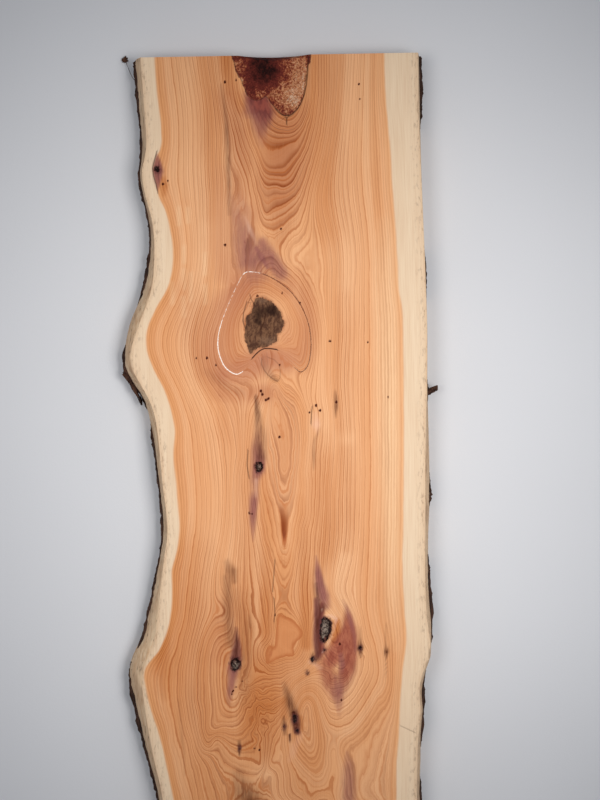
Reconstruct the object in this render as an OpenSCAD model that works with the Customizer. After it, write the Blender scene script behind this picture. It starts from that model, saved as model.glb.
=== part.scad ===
// Waney-edged plank: one through-and-through cut from a small log, with the wavy
// outside of the log and its bark left on both long edges.
// The plank lies flat, its length along Y and its head end (the knotty one) at +Y.
// The origin is the middle of the sawn underside.

/* [Board] */
// Length between the two cross-cut ends
board_length = 1200; // [800:10:2400]
// Thickness between the two sawn faces
board_thickness = 40; // [28:1:60]
// Nominal width of the upper face, between its two arrises
board_width = 240; // [180:5:320]

/* [Waney edges] */
// Depth below the upper face at which the log is widest
widest_depth = 23; // [16:1:34]

/* [Bark] */
// Thickness of the bark where it is whole
bark_thickness = 2.6; // [1.5:0.1:6]
// Thickness that is left at the broken ends and the upper lip of a bark strip
bark_lip = 0.9; // [0.5:0.1:1.4]
// Length over which a strip thins out towards a broken end
bark_fade = 26; // [13:1:60]
// Height of the bark flakes that have sprung loose from the edge
flake_height = 10; // [4:1:16]

/* [Head-end pocket] */
// Width of the bark pocket that is broken out of the head end's upper arris
pocket_width = 64; // [30:1:90]
// How far the break runs in along the upper face
pocket_run = 4.5; // [2:0.5:10]
// How far the break runs down the sawn end
pocket_drop = 13; // [5:1:25]
// Distance of the pocket's middle from the board's centre line
pocket_across = -5; // [-40:1:40]
// Radius of the pocket's rough, sunken floor on the upper face
pocket_floor_radius = 26; // [15:1:40]
// Depth of that floor below the upper face
pocket_floor_depth = 1.5; // [0.5:0.1:4]

/* [Knots] */
// Radius of the sunken core of the large heart-shaped knot
heart_knot_radius = 13.5; // [8:0.5:20]
// Depth of that core below the upper face
heart_knot_depth = 3; // [1:0.5:6]
// Depth of the small open knots, as a multiple of their radius
small_knot_steepness = 0.8; // [0.3:0.05:1]

/* [Hidden] */

LEFT = -1;
RIGHT = 1;

// Spacing of the log's sections along its length
section_spacing = 12;
// How far the log is drawn past the saw cuts, so that the cuts make the faces and ends
cut_allowance = 4;
// Rows of facets on an edge, from above the upper face to below the underside
edge_rows = 6;
// First of those rows that carries bark: the slope above it is bare
bark_first_row = 2;

// Each point of a waney edge: distance from the head end, how far the arris stands out past the
// nominal half width, and how far the log bulges past the arris at its widest.
left_edge = [
    [0, 5, 6.5], [42, 2.5, 6], [82, 1, 5.2], [104, 5.5, 3], [124, 2.5, 3], [150, -3.5, 4],
    [180, -4.5, 5.5], [210, -1, 9], [238, 9.5, 10.5], [266, 18.5, 7], [283, 16, 7.5], [304, 4.5, 6],
    [326, -3, 6.5], [380, -8, 4.5], [426, -12, 5.2], [455, -8, 5.5], [500, -2, 9.3], [522, 1, 12.5],
    [540, 8, 14.5], [556, 13.5, 12.8], [590, 10.5, 9.5], [625, 5, 7.2], [668, -3.5, 5.3],
    [720, -8, 5], [780, -2, 6], [830, 4, 7], [880, -3, 6], [950, -9, 5], [1010, -3, 7],
    [1060, 6, 9], [1110, 1, 7], [1160, -5, 5], [1220, -4, 5]
];
right_edge = [
    [0, 5, 2], [60, 5, 2.2], [120, 6.5, 1], [240, 9, 1.2], [300, 8, 1.5], [350, 6, 4.2],
    [400, 4.8, 5.2], [440, 4, 4], [480, 3.5, 4], [510, 4.5, 4.8], [532, 7, 2], [545, 6, 2.2],
    [562, -1.5, 4.3], [578, -3.5, 3.2], [595, -2.5, 2.8], [612, -5, 3.3], [640, -6.5, 4],
    [668, -7.5, 3.8], [740, -6, 4], [820, -1, 3.5], [900, 2, 3.5], [960, 0, 4], [1030, -5, 5],
    [1100, -4, 4], [1160, 0, 3.5], [1220, 1, 3.5]
];
// Length of log that those points cover: past it, a longer board's edges run back over them
log_span = 1220;

// Stretches of bark that are still on each edge: distance from the head end at which each starts
// and stops, and how thick it is, as a multiple of the bark's thickness.
left_bark = [[-40, 224, 0.9], [258, 312, 1.4], [326, 532, 0.8], [546, 860, 1.3], [890, 1220, 1]];
right_bark = [
    [-40, 64, 1.2], [168, 222, 0.6], [290, 322, 0.6], [382, 416, 0.8], [450, 534, 1],
    [552, 634, 1], [650, 905, 1], [935, 1220, 1]
];

// Flakes that have sprung loose from those stretches: distance of the root from the head end,
// length, width at the root, and how far the flake leans towards the head end, in degrees.
left_flakes = [[288, 28, 5, -117]];
right_flakes = [[307, 9, 5, 42]];

// Sunken core of the large knot, as round hollows: distance across, distance from the head end,
// and radius and depth as multiples of the core's.
heart_knot_hollows = [[-17, 237, 1.15, 1], [-25, 254, 0.75, 0.85]];

// Middle of the pocket's floor, a little to the right of the break above it
pocket_floor_across = pocket_across + 9;
// Width of a bark flake at its tip
flake_tip = 1.2;

// Small open knots: distance across, distance from the head end, and radius.
small_knots = [
    [-111, 101, 2.3], [-25, 370, 4], [35, 512, 3.8], [32, 525, 3.6], [-49, 546, 4],
    [2.5, 594, 3.4], [4, 604, 2.4], [-7, 604, 2], [64.5, 535, 2.2], [88, 539, 2]
];

head_end = board_length / 2;
overshoot = section_spacing / 2;
section_count = round(board_length / section_spacing) + 1;
section_step = (board_length + 2 * overshoot) / section_count;
row_step = (board_thickness + 2 * cut_allowance) / edge_rows;

// Slope of a table's column at one of its points, from the points on either side
function tangent(table, i, column) =
    let (before = max(i - 1, 0), after = min(i + 1, len(table) - 1))
    (table[after][column] - table[before][column]) / (table[after][0] - table[before][0]);

// Value of a table's column at a distance from the head end, on a smooth curve through its points
function smooth(table, distance, column) =
    let (
        last = len(table) - 1,
        s = min(max(distance, table[0][0]), table[last][0]),
        i = max([for (k = [0:last - 1]) if (table[k][0] <= s) k]),
        span = table[i + 1][0] - table[i][0],
        t = (s - table[i][0]) / span
    )
    table[i][column] * (1 + 2 * t) * pow(1 - t, 2)
    + table[i + 1][column] * (3 - 2 * t) * pow(t, 2)
    + span * tangent(table, i, column) * t * pow(1 - t, 2)
    - span * tangent(table, i + 1, column) * (1 - t) * pow(t, 2);

function edge_table(side) = side == LEFT ? left_edge : right_edge;
function flake_table(side) = side == LEFT ? left_flakes : right_flakes;

// Bark strips of one edge, with those on the stretch that runs back over the same points
function bark_table(side) =
    let (strips = side == LEFT ? left_bark : right_bark)
    concat(strips, [for (b = strips) [2 * log_span - b[1], 2 * log_span - b[0], b[2]]]);

// Value of an edge's column at a distance from the head end, on any length of board
function edge_value(side, distance, column) =
    smooth(edge_table(side), distance > log_span ? 2 * log_span - distance : distance, column);

// The log's round: none of the bulge at the upper face, all of it at the widest depth
function roundness(depth) = 1 - pow(1 - depth / widest_depth, 2);

function station(i) = -overshoot + i * section_step;
function row_depth(k) = -cut_allowance + k * row_step;

// Distance of the outside of the wood from the centre line
function wood_reach(side, distance, depth) =
    board_width / 2 + edge_value(side, distance, 1)
    + edge_value(side, distance, 2) * roundness(depth);

// Outside of the wood at one section and row, standing out a further distance for bark
function edge_point(side, i, k, out = 0) = [
    side * (wood_reach(side, station(i), row_depth(k)) + out),
    head_end - station(i),
    board_thickness - row_depth(k)
];

// Thickness of a bark strip at one section and row, thin at its broken ends and its upper lip
function bark_at(strip, i, k) =
    let (
        to_end = max(min(station(i) - strip[0], strip[1] - station(i)), 0),
        full = bark_thickness * strip[2],
        rise = k == bark_first_row ? 0 : min(to_end / bark_fade, 1)
    )
    bark_lip + max(full - bark_lip, 0) * rise;

// Facets of a grid of points with the given rows and columns, all facing one way
function grid_faces(rows, columns, start, flip) = [
    for (r = [0:rows - 2], c = [0:columns - 2])
        let (a = start + r * columns + c, b = a + 1, d = a + columns, e = d + 1)
        each flip ? [[a, d, b], [b, d, e]] : [[a, b, d], [b, e, d]]
];

// Facets that close the rim between two like grids, one standing behind the other
function rim_faces(rows, columns, flip) =
    let (
        size = rows * columns,
        loop = concat(
            [for (c = [0:columns - 2]) c],
            [for (r = [0:rows - 2]) r * columns + columns - 1],
            [for (c = [columns - 1:-1:1]) (rows - 1) * columns + c],
            [for (r = [rows - 1:-1:1]) r * columns]
        ),
        n = len(loop)
    )
    [
        for (j = [0:n - 1])
            let (a = loop[j], b = loop[(j + 1) % n])
            each flip
                ? [[a, b, a + size], [b, b + size, a + size]]
                : [[b, a, a + size], [b, a + size, b + size]]
    ];

// Solid between two like grids of points
module between(front, back, rows, columns, flip) {
    polyhedron(
        points = concat(front, back),
        faces = concat(
            grid_faces(rows, columns, 0, flip),
            grid_faces(rows, columns, rows * columns, !flip),
            rim_faces(rows, columns, flip)
        )
    );
}

// The wood of the log, from its left waney edge to its right one
module log_wood() {
    rows = section_count + 1;
    columns = edge_rows + 1;
    between(
        [for (i = [0:section_count], k = [0:edge_rows]) edge_point(LEFT, i, k)],
        [for (i = [0:section_count], k = [0:edge_rows]) edge_point(RIGHT, i, k)],
        rows, columns, true
    );
}

// One stretch of bark, seated on the outside of the wood
module bark_strip(side, strip) {
    first = max(round((strip[0] + overshoot) / section_step), 0);
    full_last = max(round((strip[1] + overshoot) / section_step), first + 2);
    last = min(full_last, section_count);
    // A strip that the cross cut leaves shorter than two sections has fallen off
    if (last > first + 1) {
        rows = last - first + 1;
        columns = edge_rows - bark_first_row + 1;
        between(
            [for (i = [first:last], k = [bark_first_row:edge_rows]) edge_point(side, i, k)],
            [
                for (i = [first:last], k = [bark_first_row:edge_rows])
                    edge_point(side, i, k, bark_at(strip, i, k))
            ],
            rows, columns, side == LEFT ? false : true
        );
    }
}

// One tapered flake of bark, its root in a bark strip and its tip standing free
module bark_flake(side, flake) {
    across = wood_reach(side, flake[0], widest_depth) + bark_thickness;
    half_root = flake[2] / 2;
    half_tip = flake_tip / 2;
    root = -half_root - bark_thickness;
    translate([
        side * across,
        head_end - flake[0],
        board_thickness - widest_depth - flake_height / 2
    ])
        rotate([0, 0, side == RIGHT ? flake[3] : 180 - flake[3]])
            linear_extrude(height = flake_height)
                polygon([
                    [root, -half_root], [flake[1], -half_tip], [flake[1], half_tip], [root, half_root]
                ]);
}

// The space between the two saw cuts and the two cross cuts
module saw_cuts() {
    reach = 3 * board_width;
    translate([-reach / 2, -board_length / 2, 0])
        cube([reach, board_length, board_thickness]);
}

module sawn() {
    intersection() {
        union() children();
        saw_cuts();
    }
}

// Ball that leaves a round hollow of the given radius and depth in the upper face
module hollow(across, from_head, radius, depth) {
    ball = (pow(radius, 2) + pow(depth, 2)) / (2 * depth);
    translate([across, head_end - from_head, board_thickness + ball - depth])
        sphere(r = ball, $fn = 96);
}

// Ball that breaks the bark pocket out of the head end's upper arris
module pocket_break() {
    half = pocket_width / 2;
    past_end = (pow(half, 2) - pow(pocket_run, 2)) / (2 * pocket_run);
    above_face = (pow(half, 2) - pow(pocket_drop, 2)) / (2 * pocket_drop);
    ball = sqrt(pow(half, 2) + pow(past_end, 2) + pow(above_face, 2));
    translate([pocket_across, head_end + past_end, board_thickness + above_face])
        sphere(r = ball, $fn = 180);
}

// The sawn wood, heartwood and sapwood in one piece, with its open knots
module plank() {
    color("#d99a5f")
        difference() {
            sawn() log_wood();
            pocket_break();
            hollow(pocket_floor_across, pocket_floor_radius, pocket_floor_radius, pocket_floor_depth);
            for (h = heart_knot_hollows)
                hollow(h[0], h[1], heart_knot_radius * h[2], heart_knot_depth * h[3]);
            for (k = small_knots)
                hollow(k[0], k[1], k[2], k[2] * small_knot_steepness);
        }
}

// The bark that is still on one waney edge
module bark(side) {
    color("#4b2f24")
        sawn() {
            for (strip = bark_table(side))
                bark_strip(side, strip);
            difference() {
                for (flake = flake_table(side))
                    bark_flake(side, flake);
                log_wood();
            }
        }
}

module bark_left() { bark(LEFT); }

module bark_right() { bark(RIGHT); }

plank();
bark_left();
bark_right();
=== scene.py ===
import bpy
import numpy as np
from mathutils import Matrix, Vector
from mathutils.bvhtree import BVHTree


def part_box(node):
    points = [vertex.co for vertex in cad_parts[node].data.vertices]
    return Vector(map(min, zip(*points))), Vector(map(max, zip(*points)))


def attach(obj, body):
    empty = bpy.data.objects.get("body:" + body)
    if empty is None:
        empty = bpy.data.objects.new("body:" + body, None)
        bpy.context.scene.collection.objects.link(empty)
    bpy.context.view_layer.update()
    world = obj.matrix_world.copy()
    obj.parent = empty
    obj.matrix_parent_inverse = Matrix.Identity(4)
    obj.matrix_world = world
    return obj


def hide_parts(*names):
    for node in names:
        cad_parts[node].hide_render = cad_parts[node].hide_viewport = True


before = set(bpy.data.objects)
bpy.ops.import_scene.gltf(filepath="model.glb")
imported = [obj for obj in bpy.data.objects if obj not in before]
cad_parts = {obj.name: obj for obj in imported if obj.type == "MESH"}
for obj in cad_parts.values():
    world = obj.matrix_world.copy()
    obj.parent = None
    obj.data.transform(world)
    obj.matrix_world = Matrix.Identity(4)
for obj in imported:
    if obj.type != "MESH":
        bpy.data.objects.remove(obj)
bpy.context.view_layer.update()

# The plank: one through-and-through cut of yew, sawn and planed on both faces and cross-cut square.
# Heartwood and sapwood are one piece of wood, with the wavy outside of the log left on its edges.
# The sawn outline, slopes and hollows are those of the CAD node, and the figure is drawn into it.
plank_low, plank_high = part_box("plank")
board_length, board_thickness = plank_high.y - plank_low.y, plank_high.z
head_end = plank_high.y
millimetre = 0.001
cad_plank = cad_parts["plank"].data
plank_skin = BVHTree.FromPolygons(
    [v.co.copy() for v in cad_plank.vertices], [tuple(p.vertices) for p in cad_plank.polygons]
)

# Stations along the board, close together at the broken head end and where the figure is busy
station_steps = np.concatenate(
    [np.linspace(0.0005, 0.0015, 9), np.full(397, 0.00167), np.linspace(0.002, 0.0105, 84)]
)
stations = np.concatenate([[0], np.cumsum(station_steps)])
stations *= board_length / stations[-1]
depth_shares = np.array([0, 0.05, 0.15, 0.3, 0.45, 0.6, 0.75, 0.9, 1.0])
columns, rows, layers = 144, len(stations) - 1, len(depth_shares) - 1


def take_up(*pieces):
    """Select these pieces and nothing else, the last of them active."""
    for each in bpy.context.selected_objects:
        each.select_set(False)
    for piece in pieces:
        piece.select_set(True)
        bpy.context.view_layer.objects.active = piece


def place_of(mesh):
    """Where every corner of a mesh is, one row each."""
    flat = np.empty(len(mesh.vertices) * 3)
    mesh.vertices.foreach_get("co", flat)
    return flat.reshape(-1, 3)


# A flat sheet whose edge is drawn down in layers and closed underneath, first in whole steps
take_up()
bpy.ops.mesh.primitive_grid_add(x_subdivisions=columns, y_subdivisions=rows, size=1)
plank = bpy.context.object
plank.name = plank.data.name = "sawn_plank"
sheet = np.rint((place_of(plank.data) + [0.5, 0.5, 0]) * [columns, rows, 0])
plank.data.vertices.foreach_set("co", sheet.ravel())
bpy.ops.object.mode_set(mode="EDIT")
bpy.ops.mesh.select_mode(type="EDGE")
bpy.ops.mesh.select_all(action="SELECT")
bpy.ops.mesh.region_to_loop()
for _ in range(layers):
    bpy.ops.mesh.extrude_region_move(TRANSFORM_OT_translate={"value": (0, 0, -1)})
bpy.ops.object.mode_set(mode="OBJECT")

# The long sides of the underside are bridged across, and the two ends of it filled in
lattice = np.rint(place_of(plank.data)).astype(int)
low_sides = (
    (lattice[:, 2] == -layers)
    & ((lattice[:, 0] == 0) | (lattice[:, 0] == columns))
    & (lattice[:, 1] > 0)
    & (lattice[:, 1] < rows)
)
for edge in plank.data.edges:
    edge.select = bool(low_sides[edge.vertices[0]] and low_sides[edge.vertices[1]])
for vertex in plank.data.vertices:
    vertex.select = bool(low_sides[vertex.index])
for face in plank.data.polygons:
    face.select = False
bpy.ops.object.mode_set(mode="EDIT")
bpy.ops.mesh.bridge_edge_loops()
bpy.ops.mesh.select_all(action="DESELECT")
bpy.ops.mesh.select_non_manifold(extend=False)
bpy.ops.mesh.fill_holes(sides=0)
bpy.ops.mesh.select_all(action="SELECT")
bpy.ops.mesh.normals_make_consistent(inside=False)
bpy.ops.object.mode_set(mode="OBJECT")


def eased(table, at):
    """Smooth curve through points (place, value), read off at other places."""
    place, value = np.asarray(table, float).T
    slope = np.gradient(value, place)
    n = np.clip(np.searchsorted(place, at) - 1, 0, len(place) - 2)
    span = place[n + 1] - place[n]
    t = np.clip((at - place[n]) / span, 0, 1)
    ends = value[n] * (1 + 2 * t) * (1 - t) ** 2 + value[n + 1] * (3 - 2 * t) * t**2
    return ends + span * (slope[n] * t * (1 - t) ** 2 - slope[n + 1] * (1 - t) * t**2)


# Every corner of the sheet is then taken to the sawn solid, felt out from both sides and above.
# The log's sections are 12 mm apart, and the wood runs smoothly from one to the next.
lattice = np.rint(place_of(plank.data)).astype(int)
column, row, layer = lattice[:, 0], rows - lattice[:, 1], -lattice[:, 2]
off_arris = 0.00003  # keeps a feeler from slipping by an arris
clear_of_edges, clear_above = 0.3, 0.1
section_gap = 0.012
felt_stations = np.arange(section_gap / 2, board_length, section_gap)
felt_stations = np.concatenate([[0], felt_stations, [board_length]])
felt_depths = np.array([0, 0.004, 0.012, 0.02, 0.028, 0.036, 0.04])
layer_depth = board_thickness * depth_shares
edge_x = np.empty((2, rows + 1, layers + 1))
for side, way in enumerate((1, -1)):
    felt = np.empty((len(felt_stations), len(felt_depths)))
    for r, s in enumerate(felt_stations):
        for k, depth in enumerate(felt_depths):
            y = np.clip(head_end - s, plank_low.y + off_arris, plank_high.y - off_arris)
            z = np.clip(board_thickness - depth, off_arris, board_thickness - off_arris)
            feeler = Vector((-way * clear_of_edges, y, z))
            felt[r, k] = plank_skin.ray_cast(feeler, Vector((way, 0, 0)))[0].x
    down = np.array([eased(list(zip(felt_depths, line)), layer_depth) for line in felt])
    for k in range(layers + 1):
        edge_x[side, :, k] = eased(list(zip(felt_stations, down[:, k])), stations)
station_y = head_end - stations
felt_y = np.clip(station_y, plank_low.y + off_arris, plank_high.y - off_arris)
share = column / columns
across = edge_x[0, row, layer] * (1 - share) + edge_x[1, row, layer] * share
top_z = np.full((columns + 1, rows + 1), board_thickness)
for r in range(rows + 1):
    top_x = np.linspace(edge_x[0, r, 0], edge_x[1, r, 0], columns + 1)
    for c in range(columns + 1):
        hit = plank_skin.ray_cast(Vector((top_x[c], felt_y[r], clear_above)), Vector((0, 0, -1)))
        if hit[0] is not None:
            top_z[c, r] = hit[0].z
height = top_z[column, row] * (1 - depth_shares[layer])
from_head = stations[row] / millimetre
spot = np.column_stack([across / millimetre, from_head])
on_face = layer == 0


def drawn_surface(points, values, at, softness=0.01, grain_squeeze=0.6, unit=27.0, batch=6000):
    """Smooth surface through drawn lines, each with one value all along it."""
    points = np.asarray(points, float) * [1, grain_squeeze] / unit
    at = np.asarray(at, float) * [1, grain_squeeze] / unit
    count = len(points)

    def sag(a, b):
        gap = ((a[:, None] - b[None]) ** 2).sum(-1)
        return 0.5 * gap * np.log(np.maximum(gap, 1e-12))

    plane = np.column_stack([np.ones(count), points])
    stiff = np.zeros((count + 3, count + 3))
    stiff[:count, :count] = sag(points, points) + softness * np.eye(count)
    stiff[:count, count:], stiff[count:, :count] = plane, plane.T
    weights = np.linalg.solve(stiff, np.concatenate([values, [0, 0, 0]]))
    surface = np.empty(len(at))
    for first in range(0, len(at), batch):
        part = at[first : first + batch]
        surface[first : first + batch] = (
            sag(part, points) @ weights[:count]
            + np.column_stack([np.ones(len(part)), part]) @ weights[count:]
        )
    return surface


# Growth rings as they run on the face: ring number, then points (across, from the head end) in mm
ring_lines = [
    (3, [(-3.8, 62.9), (0.7, 64.8), (6.1, 65.8), (11.5, 65), (16, 61.5), (19.7, 55.3), (22.6, 46.3),
        (24.6, 36.4)]),
    (4, [(-16.3, 57.3), (-11, 65.5), (-6.6, 68.3), (3.3, 70.7), (10.5, 70.4), (15, 67.8), (19.6, 62.5),
        (23.4, 53.5), (26.3, 41), (27.5, 23), (28.7, 5)]),
    (5, [(-25.2, 50.9), (-20.9, 65.3), (-16.6, 76.2), (-11.3, 82.6), (-5.1, 83.6), (3.1, 82.9), (8.5, 79.8),
        (14.9, 76.8), (19.5, 69.7), (23.2, 60.7), (27, 50), (29.1, 36.5), (30.3, 18.5)]),
    (6, [(-38.4, 32.6), (-33.7, 47.1), (-30.2, 62.5), (-27.4, 73.1), (-24.8, 82.1), (-22.2, 87.8),
        (-19.7, 95.1), (-16.7, 103.2), (-12.2, 107.5), (-5.5, 108.8), (0.8, 109.6), (5.3, 108.1), (9, 104.4),
        (13.6, 97.5), (18.2, 91.9), (21.9, 84.1), (25.1, 75.1), (28.3, 65.3), (29.9, 56.3), (31.7, 41.1),
        (32.9, 25.8), (33.2, 6.9)]),
    (7, [(-42, 32.6), (-37.8, 50.6), (-33.5, 63.3), (-29.3, 77.8), (-25.8, 86), (-23.2, 93.2),
        (-20.7, 101.4), (-18.1, 110.4), (-15.5, 115.8), (-8.3, 117.3), (-3.8, 117), (1.5, 119.7), (6, 118),
        (11.5, 112.7), (14.3, 106.5), (18.1, 98.4), (21.8, 91.3), (25.6, 83), (28.9, 71.6), (31.8, 59.1),
        (34.4, 41.1), (35.8, 14.1)]),
    (8, [(-45.6, 32.5), (-42.3, 50.6), (-37.2, 66.9), (-32.9, 82.2), (-27.8, 96.7), (-24.4, 107.6),
        (-21.9, 121.1), (-17.7, 136.5), (-15.1, 142), (-8.7, 139.4), (-3.3, 137.2), (4.9, 133.3),
        (10.4, 128.9), (14.9, 123.6), (18.7, 116.4), (22.4, 107.5), (26.2, 95.9), (29.1, 85.1), (32, 72.6),
        (35, 57.3), (38.1, 36.7)]),
    (9.5, [(-49.2, 32.4), (-44.1, 53.2), (-40, 71.3), (-36.6, 86.7), (-31.5, 101.2), (-28.1, 112),
        (-25.6, 125.6), (-23.2, 140.9), (-19.9, 159), (-16.5, 170.7), (-11.1, 172.6), (-5.7, 169.1),
        (-1, 162.9), (3.5, 158.5), (8.1, 154.1), (13.6, 148.8), (18.3, 139.8), (22.1, 129.1), (26.8, 113),
        (30.7, 99.6), (34.5, 86.1), (37.4, 72.7), (40.5, 54.7)]),
    (11, [(-52.8, 32.4), (-48.7, 58.6), (-47.5, 93.7), (-47.4, 136.9), (-47, 165.7), (-46.5, 188.2),
        (-48.6, 204.4)]),
    (12, [(38, 248.2), (35.7, 221.2), (34.4, 194.1), (32.2, 167.1), (29, 144.5), (30.2, 126.5),
        (33.1, 113.1), (37, 97), (40, 82.6), (42.9, 68.3), (45, 50.3), (47.3, 23.3)]),
    (8, [(-6.9, 191.6), (4.6, 200.8), (13.4, 211.8), (21.3, 226.3), (25.5, 243.5), (27, 258.8), (25.8, 275),
        (22, 287.5), (19.1, 297.4), (20.7, 310.9), (23, 333.5), (21.7, 355.9), (19.6, 373.9)]),
    (9.5, [(-0.6, 189), (10, 198.2), (18.8, 211), (24.9, 225.5), (29.1, 243.5), (30.5, 261.6), (29.3, 279.6),
        (27.2, 297.5), (26.1, 311), (28.5, 329), (26.3, 347), (25, 374), (23.6, 401), (20.4, 427.9)]),
    (11.2, [(10.2, 188.3), (20.8, 200.2), (27.7, 216.5), (32.8, 234.6), (34.2, 257.1), (33.8, 279.6),
        (33.4, 302.1), (35.7, 324.7), (34.4, 347.2), (32.2, 374.1), (30.8, 401.1), (27.6, 428), (25.4, 455)]),
    (11, [(-42.2, 201.8), (-49.7, 216.1), (-57.2, 233), (-62.9, 250.9), (-64.1, 266.2), (-60.7, 279.8),
        (-52.8, 289.8), (-42.1, 295.4), (-33.1, 299.2)]),
    (13, [(-62.5, 228.4), (-69.1, 246.3), (-71.2, 261.6), (-69.7, 277.8), (-62.7, 293.2), (-53, 304.2),
        (-46, 316.9), (-42.8, 336.8), (-41.4, 359.3)]),
    (16, [(-66.4, 39.3), (-65.4, 84.4), (-64.4, 129.4), (-65.2, 174.4), (-69.3, 205.8), (-76, 230),
        (-81.9, 255.1), (-81.3, 274.9), (-76.2, 293), (-67.5, 309.4), (-59.8, 332), (-55.8, 359.1),
        (-54.5, 390.6), (-58.9, 435.5), (-64.8, 462.4), (-66.1, 484.9), (-57.3, 499.5), (-66.4, 505.6),
        (-72.9, 514.5), (-77.6, 525.2), (-81.4, 538.7), (-83.5, 556.6), (-83.9, 579.1), (-80.7, 601.7),
        (-74.7, 619.8)]),
    (21, [(-84.4, 39), (-83.4, 84.1), (-82.4, 129.1), (-79.6, 174.1), (-83.7, 205.6), (-94.1, 232.4),
        (-101.7, 254.8), (-98.5, 277.3), (-88.9, 300), (-79.5, 327.2), (-74.8, 363.3), (-72.7, 399.3),
        (-75.1, 435.3), (-80.1, 462.2), (-84.1, 489.1), (-89.1, 516), (-94, 538.4), (-97.1, 560.9),
        (-95.8, 587.9), (-89.9, 615), (-84, 637.6), (-79, 660.2)]),
    (9, [(-20.6, 305.7), (-28.1, 319.1), (-32, 337), (-34.1, 355), (-35.3, 372.9), (-34.9, 400),
        (-32.6, 422.5), (-31.1, 440.5), (-28.8, 463.1), (-25.5, 481.1), (-24, 499.2), (-22.7, 526.2),
        (-22.2, 548.7)]),
    (5.5, [(-8.7, 290.6), (-2.5, 297), (6.4, 303.5), (13.4, 312.6), (17.7, 324.4), (18.2, 346.9),
        (16.1, 364.8)]),
    (3, [(-6.3, 306.8), (-1.9, 315), (1.6, 322.3), (5, 334), (5.7, 346.7), (4.5, 361), (2.4, 377.2),
        (-0.5, 389.8), (-2.3, 392.4), (-4.5, 388.8), (-6.1, 378), (-6.8, 362.6), (-9.7, 350), (-12.2, 337.3),
        (-13.7, 321.1)]),
    (2.2, [(-9.8, 301.4), (-7.3, 312.2), (-3.9, 326.7), (-2.4, 342), (-1.7, 357.3), (-2, 371.7)]),
    (4, [(-18.7, 350.7), (-16.3, 368.8), (-13.1, 388.6), (-8.9, 404.9), (-6.4, 420.3), (-3.2, 441.9),
        (0.6, 427.6), (4.6, 409.6), (8.5, 387.2), (11.6, 366.6), (12.8, 346.8), (11.4, 328.7), (8, 315.2)]),
    (5, [(-22.1, 391.2), (-18.8, 404.7), (-14.6, 422.8), (-10.4, 443.6), (-6.1, 455.4), (-2.6, 460.8),
        (1, 456.4), (4, 443.8), (7, 425.9), (10.9, 405.3), (13.9, 387.3)]),
    (6, [(-24.4, 418.1), (-21.1, 436.2), (-16.9, 452.5), (-11.8, 467.9), (-6.6, 481.5), (-3.1, 487.8),
        (0.6, 481.6), (4.4, 468.1), (7.4, 452.9), (10.4, 434.9), (14.4, 414.3)]),
    (7, [(-21.4, 449.7), (-18.1, 467.8), (-16.5, 481.3), (-15, 501.1), (-15.4, 521.8), (-17.4, 535.3)]),
    (8.5, [(16.8, 427.9), (13.7, 454.8), (11.5, 477.3), (12.9, 499.8), (15.3, 517.8), (15.9, 535.9)]),
    (14, [(44.3, 347.3), (42.1, 374.3), (39.8, 401.3), (38.3, 437.2), (36.2, 455.2), (35, 468.7),
        (35.7, 482.2)]),
    (17.5, [(55.5, 221.5), (53.9, 266.5), (52.4, 298), (53.7, 329.5), (53.8, 374.5), (52.1, 419.5),
        (47.9, 455.4), (43.9, 473.3), (42.9, 484.1), (47.2, 493.2), (53.3, 505), (58.5, 518.6)]),
    (21.5, [(70.8, 221.8), (70.1, 266.8), (69.3, 311.8), (69.4, 356.8), (67.4, 419.7), (65, 455.7),
        (62.7, 482.7), (65, 505.2), (69.1, 527.8), (72.4, 545.8)]),
    (15, [(-56.6, 510.3), (-64.8, 513.7), (-71.2, 523.5), (-75, 534.3), (-77.1, 547.7), (-77.5, 570.2),
        (-76.1, 592.8), (-70.1, 610.9)]),
    (14, [(-55, 518.4), (-63.1, 521.9), (-68.7, 530.8), (-71.6, 543.3), (-72, 565.8), (-70.6, 588.4),
        (-67.3, 606.4)]),
    (13, [(-53.3, 526.6), (-60.6, 530), (-65.2, 538.9), (-66.4, 552.4), (-65.8, 570.4), (-63.4, 590.3)]),
    (12, [(-52.6, 535.6), (-58, 539.1), (-60, 548), (-61.1, 561.5), (-59.6, 576.8), (-55.2, 586.8)]),
    (11, [(-41.9, 489.8), (-40.4, 512.4), (-39, 530.4), (-38.4, 548.4), (-42.2, 561.8), (-46, 572.6)]),
    (10, [(-32.7, 481), (-31.3, 503.5), (-30.8, 526), (-32.1, 548.5), (-35.9, 563.8)]),
    (24, [(-89.5, 435), (-93.6, 461.9), (-96.7, 488.9), (-102.6, 515.8), (-111.1, 538.1), (-116.9, 560.5),
        (-114.7, 587.6), (-108, 619.2), (-101.3, 646.3), (-95.4, 668.9)]),
    (5, [(-11.5, 504.8), (-2.5, 505.8), (6.4, 510.5), (11.6, 521.4), (8.7, 533.9), (3.1, 541.9),
        (-6.8, 542.7), (-15.8, 546.1), (-20.3, 544.2), (-19.2, 533.4), (-13.7, 528.1), (-12.6, 515.6)]),
    (4, [(-6.3, 517.5), (0.8, 523), (-3, 531.9)]),
    (10, [(-25, 556.7), (-13.3, 557), (-1.6, 553.6), (9.3, 551)]),
    (13, [(-36.1, 575.5), (-27.1, 572.9), (-19.9, 574.8), (-12.7, 571.4), (-6.4, 573.3)]),
    (27, [(8.4, 603.2), (10.9, 615), (16.1, 623.2), (18.9, 620.5), (19.9, 610.6), (18.4, 594.4),
        (15, 582.7)]),
    (26, [(4.6, 613.1), (10.7, 625.8), (18.7, 632.2), (23.3, 626), (24.4, 612.5), (22.9, 597.2)]),
    (25, [(2.7, 621.1), (11.4, 636.6), (20.3, 642.2), (26.7, 636.9), (29.6, 626.1), (28.9, 611.7)]),
    (24, [(2.5, 632.8), (13, 646.5), (23.7, 655.7), (30.1, 650.4), (33.9, 638.8), (34.1, 624.4)]),
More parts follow.
